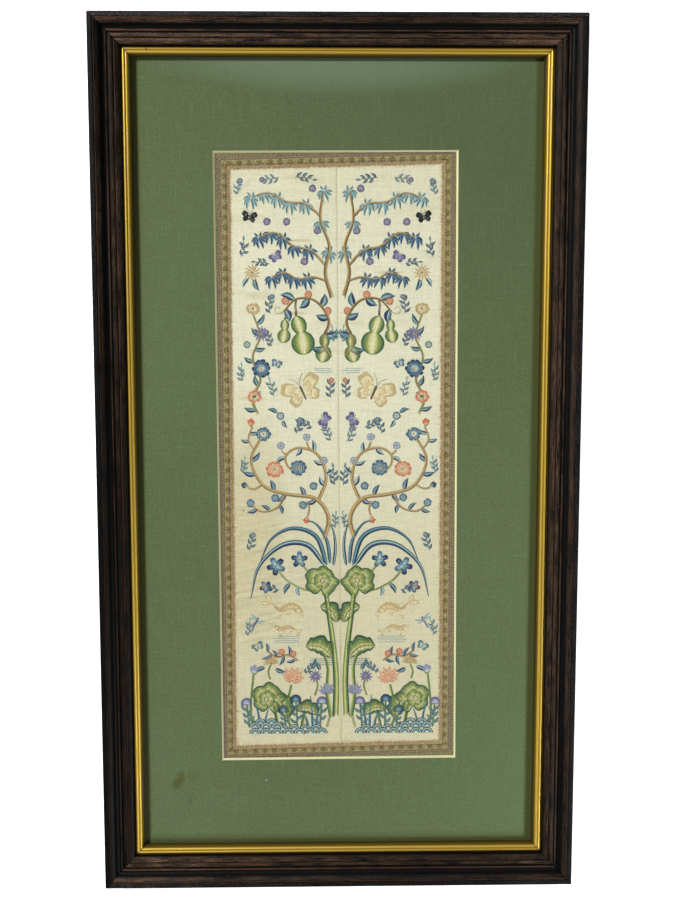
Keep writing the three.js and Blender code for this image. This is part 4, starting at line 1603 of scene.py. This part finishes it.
def wave_scales(work, left, right, base):
    """Overlapping half rings of water along the lower edge, one row over another."""
    radius, rows = SCALE_RADIUS, SCALE_ROWS
    ring = np.linspace(0, math.pi, 25)
    arc = np.stack([np.cos(ring), np.sin(ring)], 1)
    sizes = np.array([1.0, 0.84, 0.66, 0.48, 0.28, 0.05]) * radius
    count = int((right - left) / (radius * 1.9))
    for row in range(rows - 1, -1, -1):
        lift = 0.16 + 0.06 * (rows - row)
        for k in range(count - row):
            centre = (right - radius * (1 + 1.9 * k) - row * radius * 0.95, base + row * radius * 0.62)
            for outer, inner, tone in zip(sizes[:-1], sizes[1:], ("navy", "ice", "teal", "sky", "cream")):
                work.satin(centre + arc * outer, centre + arc * inner, tone, lift=lift)


RIPPLE_GAP = 1.9


def water_lines(work, tone, left, right, y, count):
    """Fine ripples laid one over another."""
    for k in range(count):
        inset = work.random.uniform(0, 0.22) * (right - left)
        x = np.linspace(left + inset, right - work.random.uniform(0, 0.2) * (right - left), 24)
        line = np.stack([x, y - RIPPLE_GAP * k + 0.35 * np.sin(x * 0.7 + k)], 1)
        work.thread(line, tone, 0.42, 0.2, 3.4)


# ---- The design, from the bottom up ----
# A lotus pond with fish, a flowering vine, gourds, butterflies and a willow. Every place is a distance
# out from the seam and a height in the picture; both sides are worked from the same drawing.

# Petal colours from the rim in, and the colours of the two halves of a leaf.
CORAL, LILAC, BLUE, DEEP = "coral blush cream", "violet lilac ice", "steel sky ice", "navy steel sky"
TEAL_LEAF = ("sky teal", "teal navy")
BLUE_LEAF = ("sky steel", "steel navy")
PALE_LEAF = ("ice sky", "steel navy")


def work_pond(work):
    """Waves, reeds, lotus leaves and flowers along the lower edge."""
    foot = -258
    for x, height, lean in ((24, 26, -5), (27, 34, 2), (31, 22, 8), (77, 30, 6), (81, 20, 10), (73, 22, -4)):
        line = soft_line([(x, foot), (x + lean * 0.3, foot + height * 0.55), (x + lean, foot + height)])
        work.blade(line, 2.6, blade_shape, "teal sky", "steel teal", slant=0.05, vein=0.05)
    twig(work, [(60, -256), (62, -244), (64, -232)], (2.4, 2.0), "bottle leaf olive")
    twig(work, [(38, -256), (36, -246), (33, -238)], (2.0, 1.6), "bottle leaf olive")
    twig(work, [(48, -256), (52, -238), (47, -213)], (1.8, 1.4), "leaf olive")
    twig(work, [(84, -256), (86, -236), (83, -203)], (1.6, 1.2), "leaf olive")
    twig(work, [(14, -256), (10, -240), (13, -222)], (1.4, 1.1), "leaf olive")
    wave_scales(work, 10, 88, -261)
    wave_scales(work, 56, 88, -255)
    lotus_leaf(work, (69, -226), 15.5, 0.92, 18, (0.10, -0.12))
    folded_leaf(work, (52, -246), 62, 25, 9.5)
    folded_leaf(work, (22, -242), 14, 21, 8.0)
    lotus(work, (46, -209), 100, 13.5, "cream blush coral")
    lotus(work, (13, -221), 84, 9.5, "ice lilac violet")
    bud(work, (82.5, -202), 96, 9.0, "lilac ice", "leaf olive")
    asters = ((42, 27, DEEP, 1), (20, 25, LILAC, -2), (88, 24, LILAC, 2), (53, 17, DEEP, 2))
    for x, height, tones, lean in asters:
        aster_plant(work, x, -255, height, tones, lean)
    for at, turn in (((20, -199), 60), ((27, -196), 110)):
        leaf(work, at, turn, 9, 4, *TEAL_LEAF)
    daisy(work, (24, -205), 6.2, 11, "lilac violet")
    twig(work, [(24, -206), (22, -214), (25, -224)], (1.0, 0.9), "leaf olive")
    daisy(work, (66, -192), 7.0, 12, "straw gold", "bark", 90, 200)
    twig(work, [(66, -193), (69, -200), (67, -208)], (1.0, 0.9), "leaf olive")
    for at, turn in (((62, -197), 200), ((72, -196), -30)):
        leaf(work, at, turn, 10, 4.4, *BLUE_LEAF)


def work_seam_leaves(work):
    """Tall lotus leaves that stand against the seam, with fish swimming beside them."""
    tall = [(5.5, -246), (4.4, -210), (6.4, -178), (10, -150), (13, -126)]
    twig(work, tall, (5.2, 3.6), "bottle leaf olive lime olive leaf")
    twig(work, [(9.5, -246), (13, -222), (12, -196), (17, -180)], (2.8, 2.2), "bottle leaf olive lime")
    lotus_leaf(work, (17.5, -113), 15.5, 0.90, 24, (-0.05, 0.10))
    folded_leaf(work, (8, -186), 24, 27, 10.5)
    folded_leaf(work, (3, -152), 46, 22, 8.5)
    water_lines(work, "steel", 1.5, 30, -188, 4)
    water_lines(work, "sky", 34, 66, -166, 4)
    carp(work, [(36, -146), (45, -138), (56, -141), (66, -134)], 33)
    carp(work, [(64, -156), (56, -160), (48, -157), (41, -161)], 22, -1)
    dragonfly(work, (79, -150), 118, 8.5)
    butterfly(work, (78, -176), 60, 6.5, "teal ice", "gold")
    line = twig(work, [(40, -190), (50, -184), (60, -186), (70, -180)], (1.3, 0.8), "gold bark")
    leaves_along(work, line, (0.1, 0.28, 0.46, 0.64, 0.82, 0.97), 9.5, 3.2, *BLUE_LEAF)
    for k, at in enumerate(((45, -183), (56, -181))):
        blossom(work, at, 3.6, CORAL, turn=30 * k)


def work_iris(work):
    """Arching blue leaves and iris flowers above the lotus."""
    arches = (
        ([(12, -98), (22, -70), (44, -62), (64, -72), (74, -92)], 4.6),
        ([(14, -98), (30, -78), (54, -78), (76, -98), (84, -128)], 5.2),
        ([(9, -96), (12, -74), (22, -58), (34, -54)], 3.6),
        ([(6, -98), (4, -80), (6, -64), (12, -54)], 3.0),
    )
    for k, (points, width) in enumerate(arches):
        halves = (("sky steel", "teal navy"), ("ice teal", "steel navy"))[k % 2]
        work.blade(soft_line(points, 60), width, blade_shape, *halves, slant=0.04, vein=0.1)
    for x, y, turn, size in ((38, -92, 20, 8.5), (60, -98, -10, 9.5), (70, -118, 200, 6.5)):
        for angle in (0, 72, 144, 216, 288):
            tones = DEEP if angle % 144 == 0 else BLUE
            work.fan((x, y), turn + angle, size, size * 0.62, tones, notch=0.04)
        work.knot((x, y), "gold", 1.6)
        work.knot((x + 0.8, y + 0.6), "coral", 1.0)
    twig(work, [(38, -94), (30, -104), (27, -112)], (1.2, 1.0), "leaf olive")
    twig(work, [(60, -100), (50, -112), (36, -120), (28, -122)], (1.2, 1.0), "leaf olive")
    leaf(work, (47, -115), -60, 11, 4.6, *TEAL_LEAF)
    leaf(work, (40, -118), -100, 9, 3.8, "ice sky", "sky steel")


CORAL_RINGS = ((1.0, 9, "coral blush"), (0.66, 7, CORAL), (0.36, 4, "coral cream"))
BLUE_RINGS = ((1.0, 10, DEEP), (0.7, 8, "navy steel ice"), (0.4, 5, "navy sky"))


def work_vine(work):
    """Scrolling tan branches with coral, blue and lilac flowers."""
    bark = "bronze gold wheat gold"
    arch = [(15, -74), (10, -52), (22, -34), (46, -30), (70, -22), (82, 2), (72, 24)]
    scroll = [(20, -37), (12, -14), (20, 8), (38, 14), (50, 6), (46, -6), (38, -4)]
    main = twig(work, arch, (3.6, 1.4), bark)
    inner = twig(work, scroll, (2.6, 1.0), bark)
    side = twig(work, [(50, -29), (58, -42), (72, -46), (82, -40)], (1.8, 0.9), bark)
    tip = twig(work, [(78, 12), (84, 22), (80, 34)], (1.4, 0.8), bark)
    leaves_along(work, main, (0.30, 0.38, 0.5, 0.58, 0.74, 0.83), 11, 4.6, *BLUE_LEAF)
    leaves_along(work, inner, (0.16, 0.26, 0.36, 0.5, 0.62, 0.8), 10, 4.2, *PALE_LEAF)
    leaves_along(work, side, (0.3, 0.55, 0.85), 9, 3.8, *BLUE_LEAF)
    leaves_along(work, tip, (0.4, 0.7), 8, 3.6, "ice teal", "steel navy")
    rosette(work, (60, -6), 9.0, CORAL_RINGS)
    rosette(work, (38, -5), 8.5, BLUE_RINGS, "coral")
    rosette(work, (70, 27), 7.5, BLUE_RINGS[:2])
    for x, y, turn in ((24, -22, 10), (34, -40, 40), (60, -33, 70), (83, -38, 20)):
        blossom(work, (x, y), 4.4, BLUE, turn=turn)
    for x, y, turn in ((14, 2, 120), (30, 24, 80), (54, 16, 45)):
        blossom(work, (x, y), 4.2, "lilac ice", "violet", turn)
    bud(work, (82, 35), 100, 7, "coral blush")
    bud(work, (30, -52), -70, 6, "coral blush")
    bud(work, (86, -22), 20, 6, "navy sky")
    bud_stalks = ((30, -51), (28, -44), (30, -36)), ((86, -23), (80, -25), (72, -21))
    flower_stalks = ((30, 20), (28, 14), (24, 11)), ((54, 12), (50, 8), (48, 7))
    for points in bud_stalks + flower_stalks:
        twig(work, points, (1.0, 1.0), "gold")


def work_butterflies(work):
    """Large straw-gold butterflies and the flowering stem beside them."""
    butterfly(work, (33, 66), 66, 21.0, "honey cream straw cream", "bark", 5)
    butterfly(work, (12, 40), 30, 8.0, "violet lilac", "black")
    points = [(74, 44), (80, 60), (72, 78), (79, 98), (72, 118), (78, 138)]
    stem = twig(work, points, (1.8, 0.9), "gold leaf")
    leaves_along(work, stem, (0.06, 0.16, 0.3, 0.4, 0.54, 0.66, 0.8, 0.9), 10.5, 4.4, *TEAL_LEAF)
    rosette(work, (71, 88), 9.5, ((1.0, 10, "navy steel"), (0.74, 8, DEEP), (0.46, 6, "steel ice")), "coral")
    rosette(work, (78, 62), 7.0, ((1.0, 8, "coral blush"), (0.6, 5, "coral cream")))
    daisy(work, (71, 120), 7.2, 12, "violet lilac", turn=100)
    rosette(work, (78, 143), 7.0, ((1.0, 9, "gold straw"), (0.62, 6, "gold straw cream")), "bark", 0.7)
    blossom(work, (84, 110), 3.8, "teal ice", turn=20)
    blossom(work, (54, 44), 4.4, "steel ice", turn=50)
    leaf(work, (57, 47), 20, 9, 4, "sky steel", "teal navy")
    leaf(work, (52, 40), -120, 8, 3.6, "ice teal", "teal navy")
    butterfly(work, (57, 92), 110, 6.0, "steel ice", "navy")


def work_gourds(work):
    """A pair of bottle gourds on their vine, close to the seam."""
    points = [(6, 98), (14, 112), (8, 132), (20, 150), (38, 152), (50, 140)]
    vine = twig(work, points, (2.4, 1.0), "bark gold")
    gourd(work, (31, 101), 78, 36, 22)
    gourd(work, (15, 94), 96, 26, 15)
    gourd(work, (51, 112), 96, 21, 12.5)
    twig(work, [(38, 139), (39, 146), (38, 151)], (1.2, 1.0), "bark")
    leaves_along(work, vine, (0.1, 0.24, 0.42, 0.55, 0.7, 0.84, 0.97), 13, 7.0, "sky teal", "steel navy")
    for x, y, turn in ((9, 141, 20), (27, 156, 60), (48, 150, 10)):
        blossom(work, (x, y), 4.2, CORAL, turn=turn)
    work.thread(soft_line([(50, 140), (56, 138), (58, 143), (54, 145), (53, 142)]), "olive", 0.5)
    water_lines(work, "sky", 2.5, 24, 88, 3)


def work_willow(work):
    """Willow and plum branches that rise to the top, with small butterflies."""
    bark = "bark gold amber"
    trunk = twig(work, [(5, 152), (11, 176), (7, 200), (15, 224), (12, 250)], (3.0, 1.2), bark)
    bough = twig(work, [(10, 182), (24, 196), (40, 200), (56, 212), (72, 208)], (2.0, 0.9), bark)
    upper = twig(work, [(14, 226), (28, 238), (46, 240), (62, 248), (78, 244)], (1.8, 0.8), bark)
    low = twig(work, [(9, 168), (22, 172), (36, 170), (48, 176), (60, 172)], (1.6, 0.8), bark)
    for line, places, tones in (
        (bough, (0.30, 0.48, 0.66, 0.84, 1.0), "sky steel navy"),
        (upper, (0.26, 0.46, 0.64, 0.82, 1.0), "ice sky teal"),
        (low, (0.36, 0.58, 0.80, 1.0), "sky steel navy"),
        (trunk, (0.44, 0.72, 1.0), "ice sky teal"),
    ):
        for k, place in enumerate(places):
            at = sample(line, [place])[0]
            spray(work, at, -92 + work.random.uniform(-14, 14), 6, 136, 11.0, tones, 2.9)
            if k % 2 == 0:
                spray(work, at, 84, 2, 60, 7.5, tones, 2.4)
    for x, y, turn in ((18, 214, 15), (30, 186, 50), (46, 222, 80), (64, 222, 5), (22, 252, 40)):
        blossom(work, (x, y), 4.0, LILAC, turn=turn)
    butterfly(work, (80, 226), 100, 8.2, "black soot", "black")
    butterfly(work, (56, 190), 60, 7.2, "violet lilac", "violet")
    daisy(work, (78, 176), 7.6, 12, "cream straw gold", "bark")
    leaf(work, (76, 170), -110, 11, 4.6, *TEAL_LEAF)
    leaf(work, (82, 171), -60, 9, 4.0, *PALE_LEAF)


ZONES = {
    "pond": work_pond,
    "lotus": work_seam_leaves,
    "iris": work_iris,
    "vine": work_vine,
    "butterflies": work_butterflies,
    "gourds": work_gourds,
    "willow": work_willow,
}

# Small sprigs fill the silk between the larger motifs: place, heading, length, and flower or none.
SPRIGS = {
    "lotus": ((57, -121, 12, 15, CORAL), (88, -166, 98, 15, None), (34, -203, 128, 13, None)),
    "iris": ((85, -84, 104, 16, BLUE), (4, -62, 92, 13, None)),
    "vine": (
        (4, -22, 84, 17, None),
        (7, 20, 66, 15, LILAC),
        (40, 27, 108, 14, BLUE),
        (90, -10, 98, 13, None),
    ),
    "butterflies": (
        (7, 60, 92, 17, CORAL),
        (60, 62, 76, 15, None),
        (61, 108, 70, 14, LILAC),
        (88, 76, 84, 14, None),
        (24, 33, 24, 14, None),
    ),
    "gourds": ((62, 138, 96, 16, BLUE), (4, 112, 84, 13, None)),
    "willow": (
        (38, 262, 186, 16, None),
        (52, 262, -8, 16, LILAC),
        (88, 190, 98, 15, None),
        (90, 246, 100, 13, BLUE),
        (62, 184, 6, 13, None),
    ),
}
# The two halves of a sprig's leaves and its stalk, by turns.
SPRIG_SILKS = (("sky teal", "steel navy", "dusk"), ("ice sky", "teal steel", "moss"))


def embroider(context, zone, side):
    """Works one zone of the design on one side of the seam."""
    number = list(ZONES).index(zone)
    seed = 100 + 2 * number + (side == "left")
    work = Needlework(1 if side == "right" else -1, seed, context.scene.sleeve_band_threads)
    ZONES[zone](work)
    for k, (x, y, turn, length, bloom) in enumerate(SPRIGS.get(zone, ())):
        sprig(work, (x, y), turn, length, *SPRIG_SILKS[k % 2], bloom)
    material = bpy.data.materials.get("embroidery_silk") or embroidery_silk()
    return work.mesh(f"embroidery_{zone}_{side}", material)


# ---- Operators ----


class SLEEVEBAND_OT_stage(bpy.types.Operator):
    """Sets up the camera, the lights and the pale floor"""

    bl_idname = "sleeveband.stage"
    bl_label = "Camera, Lights and Floor"

    def execute(self, context):
        look = context.scene.sleeve_band_stage
        context.scene.view_settings.view_transform = "Standard"
        make_camera(context)
        make_floor(look)
        make_lights(context, look)
        return {"FINISHED"}


class SLEEVEBAND_OT_moulding(bpy.types.Operator):
    """Makes the four lengths of reeded wooden moulding"""

    bl_idname = "sleeveband.moulding"
    bl_label = "Wooden Moulding"

    def execute(self, context):
        look = context.scene.sleeve_band_frame
        material = reeded_wood(look)
        for seed, side in enumerate(SIDES, 1):
            name, node = f"moulding_{side[0]}_wood", f"rail_{side[0]}"
            mitred_length(name, RAIL_SECTION, side, seed, look.wear, material, node)
        return {"FINISHED"}


class SLEEVEBAND_OT_slip(bpy.types.Operator):
    """Makes the four lengths of gilt slip"""

    bl_idname = "sleeveband.slip"
    bl_label = "Gilt Slip"

    def execute(self, context):
        look = context.scene.sleeve_band_frame
        material = toned_gilt(look)
        for seed, side in enumerate(SIDES, 11):
            name, node = f"slip_{side[0]}_gilt", f"slip_{side[0]}"
            mitred_length(name, SLIP_SECTION, side, seed, look.wear / 2, material, node)
        return {"FINISHED"}


class SLEEVEBAND_OT_boards(bpy.types.Operator):
    """Finishes the glass and the two boards behind the silk"""

    bl_idname = "sleeveband.boards"
    bl_label = "Glass and Boards"

    def execute(self, context):
        look = context.scene.sleeve_band_boards
        finishes = {
            "glass_pane": picture_glass(),
            "mount_board": plain_board("mount_board", look.mount, "b9ac8a", 500.0),
            "back_board": plain_board("backing_board", look.backing, "5c452d", 260.0),
        }
        for node, material in finishes.items():
            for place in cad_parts[node].material_slots:
                place.material = material
        return {"FINISHED"}


class SLEEVEBAND_OT_mat(bpy.types.Operator):
    """Makes the linen-faced window mat with its cream bevel"""

    bl_idname = "sleeveband.mat"
    bl_label = "Window Mat"

    def execute(self, context):
        look = context.scene.sleeve_band_boards
        make_mat(look)
        make_hair()
        return {"FINISHED"}


class SLEEVEBAND_OT_silk(bpy.types.Operator):
    """Makes the two silk bands and the stitching of their seam"""

    bl_idname = "sleeveband.silk"
    bl_label = "Silk Bands"

    def execute(self, context):
        material = silk_ground(context.scene.sleeve_band_cloth)
        for side in ("left", "right"):
            silk_panel(side, material)
        make_seam(context)
        return {"FINISHED"}


class SLEEVEBAND_OT_ribbon(bpy.types.Operator):
    """Makes the four lengths of woven ribbon and their frayed inner edge"""

    bl_idname = "sleeveband.ribbon"
    bl_label = "Woven Ribbon"

    def execute(self, context):
        look = context.scene.sleeve_band_cloth
        material = woven_ribbon(look)
        for index, name in enumerate(RIBBON_SIDES):
            ribbon_strip(index, name, material, look.motif_pitch / MM)
        make_fray(context)
        return {"FINISHED"}


class SLEEVEBAND_OT_embroidery(bpy.types.Operator):
    """Works the embroidery on both sides of the seam"""

    bl_idname = "sleeveband.embroidery"
    bl_label = "Embroidery"

    def execute(self, context):
        for zone in ZONES:
            for side in ("left", "right"):
                embroider(context, zone, side)
        return {"FINISHED"}


class SLEEVEBAND_OT_cloth(bpy.types.Operator):
    """Does nothing: no piece is marked as cloth and no size is kept"""

    bl_idname = "sleeveband.cloth"
    bl_label = "Cloth Sizes"

    def execute(self, context):
        return {"FINISHED"}


class SLEEVEBAND_PT_sidebar(bpy.types.Panel):
    """Lists the pieces of the framed sleeve band"""

    bl_label = "Framed Sleeve Band"
    bl_idname = "SLEEVEBAND_PT_sidebar"
    bl_space_type = "VIEW_3D"
    bl_region_type = "UI"
    bl_category = "Sleeve Band"

    def draw(self, context):
        for operator in OPERATORS:
            self.layout.operator(operator.bl_idname)
        for group in GROUPS:
            box = self.layout.box()
            settings = getattr(context.scene, group)
            for name in settings.bl_rna.properties.keys():
                if name not in {"rna_type", "name"}:
                    box.prop(settings, name)


# ---- Seam and frayed edge ----


# The seam's stitches: spacing, how far up and down they run, and each stitch's step.
SEAM_PITCH, SEAM_END, SEAM_STITCH = 2.3, 284.0, (0.15, 1.35)


def make_seam(context):
    """Small running stitches down the seam."""
    cloth = context.scene.sleeve_band_cloth
    work = Needlework(1, 7, context.scene.sleeve_band_threads)
    places = np.arange(-SEAM_END, SEAM_END, SEAM_PITCH)
    places = places + work.random.uniform(-0.15, 0.15, len(places))
    start = np.stack([np.full(len(places), 0.35), places], 1)
    end = start + SEAM_STITCH
    tone = np.array(cloth.silk_aged) * 0.85
    work.lay(start, end, tone, tone, 0.5, 0.25)
    return work.mesh("seam_stitches", loose_fibre("seam_thread", cloth.silk_aged))


# The ribbon's loose fibres: their spacing, how far they reach, and how far they lean.
FRAY_LAYERS = ((0.6, 0.36, 0.5), (1.7, 0.75, 1.3))


def loose_fibres(index, pitch, reach, lean, random):
    """Bent fibres from one length's inner edge out over the silk, each as a row of ridge points."""
    start, end = FIELD[index], FIELD[(index + 1) % 4]
    direction = unit(end - start)
    inward = np.array([-direction[1], direction[0]])
    fibres = []
    for place in np.arange(1.0, np.linalg.norm(end - start) - 1.0, pitch):
        root = start + direction * (place + random.uniform(-0.5, 0.5) * pitch) - inward * 0.7
        tip = root + inward * (0.9 + random.gamma(2.0, reach)) + direction * random.uniform(-lean, lean)
        middle = (root + tip) / 2 + direction * random.uniform(-0.3, 0.3)
        line = soft_line([root, middle, tip], 4)
        normal = sideways(line) * 0.09
        z = np.maximum(silk_height(line[:, 0], line[:, 1]), SILK_TOP) + np.linspace(0.42, 0.10, len(line))
        ridge = (
            np.column_stack([line - normal, z]),
            np.column_stack([line, z + 0.10]),
            np.column_stack([line + normal, z]),
        )
        fibres.append(np.stack(ridge, 1).reshape(-1, 3))
    return fibres


def make_fray(context):
    """Loose fibres of the ribbon's cut edge, lying over the silk."""
    cloth = context.scene.sleeve_band_cloth
    random = np.random.default_rng(77)
    fibres = []
    for index in range(4):
        for pitch, reach, lean in FRAY_LAYERS:
            fibres += loose_fibres(index, pitch, reach, lean, random)
    across = 3
    each = len(fibres[0])
    faces = [grid_faces(each // across, across, each * k)[:, ::-1] for k in range(len(fibres))]
    material = loose_fibre("ribbon_fibre", cloth.ribbon_pink)
    return make_piece("ribbon_fray", np.vstack(fibres), np.vstack(faces), [material])


# ---- Stage ----

CAMERA_PLACE = Vector((-0.02492, 0.15307, 1.21232))
CAMERA_AHEAD = Vector((0.01981, -0.11638, -0.99301))
CAMERA_UP = Vector((0.00286, 0.99320, -0.11635))
CAMERA_LENS = 52.0


def make_camera(context):
    data = bpy.data.cameras.new("camera")
    data.lens = CAMERA_LENS
    data.sensor_width = 36.0
    data.clip_start = 0.01
    camera = bpy.data.objects.new("camera", data)
    ahead = CAMERA_AHEAD.normalized()
    right = ahead.cross(CAMERA_UP).normalized()
    up = right.cross(ahead)
    turn = Matrix((right, up, -ahead)).transposed().to_4x4()
    camera.matrix_world = Matrix.Translation(CAMERA_PLACE) @ turn
    context.scene.collection.objects.link(camera)
    context.scene.camera = camera
    return camera


FLOOR_RADIUS, FLOOR_SIDES, FLOOR_DROP = 12.0, 64, 0.0002


def make_floor(look):
    """A wide round floor just under the frame."""
    turns = np.linspace(0, 2 * math.pi, FLOOR_SIDES, endpoint=False)
    points = [(FLOOR_RADIUS * math.cos(t), FLOOR_RADIUS * math.sin(t), -FLOOR_DROP) for t in turns]
    mesh = bpy.data.meshes.new("floor")
    mesh.from_pydata(points, [], [list(range(FLOOR_SIDES))])
    mesh.materials.append(pale_floor(look))
    floor = bpy.data.objects.new("floor", mesh)
    bpy.context.scene.collection.objects.link(floor)
    return floor


def make_light(context, name, place, size, power):
    """A rectangular light that faces the frame's origin."""
    data = bpy.data.lights.new(name, "AREA")
    data.shape = "RECTANGLE"
    data.size, data.size_y = size
    data.energy = power
    light = bpy.data.objects.new(name, data)
    light.location = place
    light.rotation_euler = (-Vector(place)).to_track_quat("-Z", "Y").to_euler()
    context.scene.collection.objects.link(light)
    return light


KEY_PLACE, KEY_SIZE = (-1.68, 1.50, 1.98), (0.20, 0.24)
FILL_PLACE, FILL_SIZE = (0.95, -0.80, 0.72), (0.10, 0.16)
SKY_BY_HEIGHT = ((0.0, 1.0), (0.30, 1.0), (0.62, 0.85), (0.80, 0.30), (1.0, 0.12))
SKY_BY_SIDE = ((-0.25, 1.0), (0.45, 0.10))


def make_room(look):
    """A room that is lightest low on the left and dark overhead and on the right."""
    r = Recipe("room", "worlds")
    x, _, z = r.split(r.add("TexCoord").outputs["Generated"])
    ramp = r.add("ValToRGB", {0: z})
    for k, (at, value) in enumerate(SKY_BY_HEIGHT):
        element = ramp.color_ramp.elements[k] if k < 2 else ramp.color_ramp.elements.new(at)
        element.position = at
        element.color = (value, value, value, 1)
    (left, left_value), (right, right_value) = SKY_BY_SIDE
    inputs = {"Value": x, "From Min": left, "From Max": right, "To Min": left_value, "To Max": right_value}
    side = r.add("MapRange", inputs, interpolation_type="SMOOTHSTEP").outputs["Result"]
    strength = r.times(side, look.sky_light)
    glow = r.add("Background", {"Color": ramp.outputs["Color"], "Strength": strength})
    return r.show(glow, "OutputWorld")


def make_lights(context, look):
    """A hard key from the upper left, a weak fill from the right, and the light of the room."""
    make_light(context, "key", KEY_PLACE, KEY_SIZE, look.key)
    make_light(context, "fill", FILL_PLACE, FILL_SIZE, look.fill)
    context.scene.world = make_room(look)


# ---- Registration ----

GROUPS = {
    "sleeve_band_frame": SleeveBandFrame,
    "sleeve_band_boards": SleeveBandBoards,
    "sleeve_band_cloth": SleeveBandCloth,
    "sleeve_band_threads": SleeveBandThreads,
    "sleeve_band_stage": SleeveBandStage,
}
OPERATORS = (
    SLEEVEBAND_OT_stage,
    SLEEVEBAND_OT_moulding,
    SLEEVEBAND_OT_slip,
    SLEEVEBAND_OT_boards,
    SLEEVEBAND_OT_mat,
    SLEEVEBAND_OT_silk,
    SLEEVEBAND_OT_ribbon,
    SLEEVEBAND_OT_embroidery,
    SLEEVEBAND_OT_cloth,
)
CLASSES = (*GROUPS.values(), *OPERATORS, SLEEVEBAND_PT_sidebar)


def register():
    for cls in CLASSES:
        bpy.utils.register_class(cls)
    for name, group in GROUPS.items():
        setattr(bpy.types.Scene, name, PointerProperty(type=group))


def unregister():
    for name in GROUPS:
        delattr(bpy.types.Scene, name)
    for cls in reversed(CLASSES):
        bpy.utils.unregister_class(cls)


def main():
    register()
    for operator in OPERATORS:
        group, name = operator.bl_idname.split(".")
        getattr(getattr(bpy.ops, group), name)()
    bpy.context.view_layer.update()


if __name__ == "__main__":
    main()
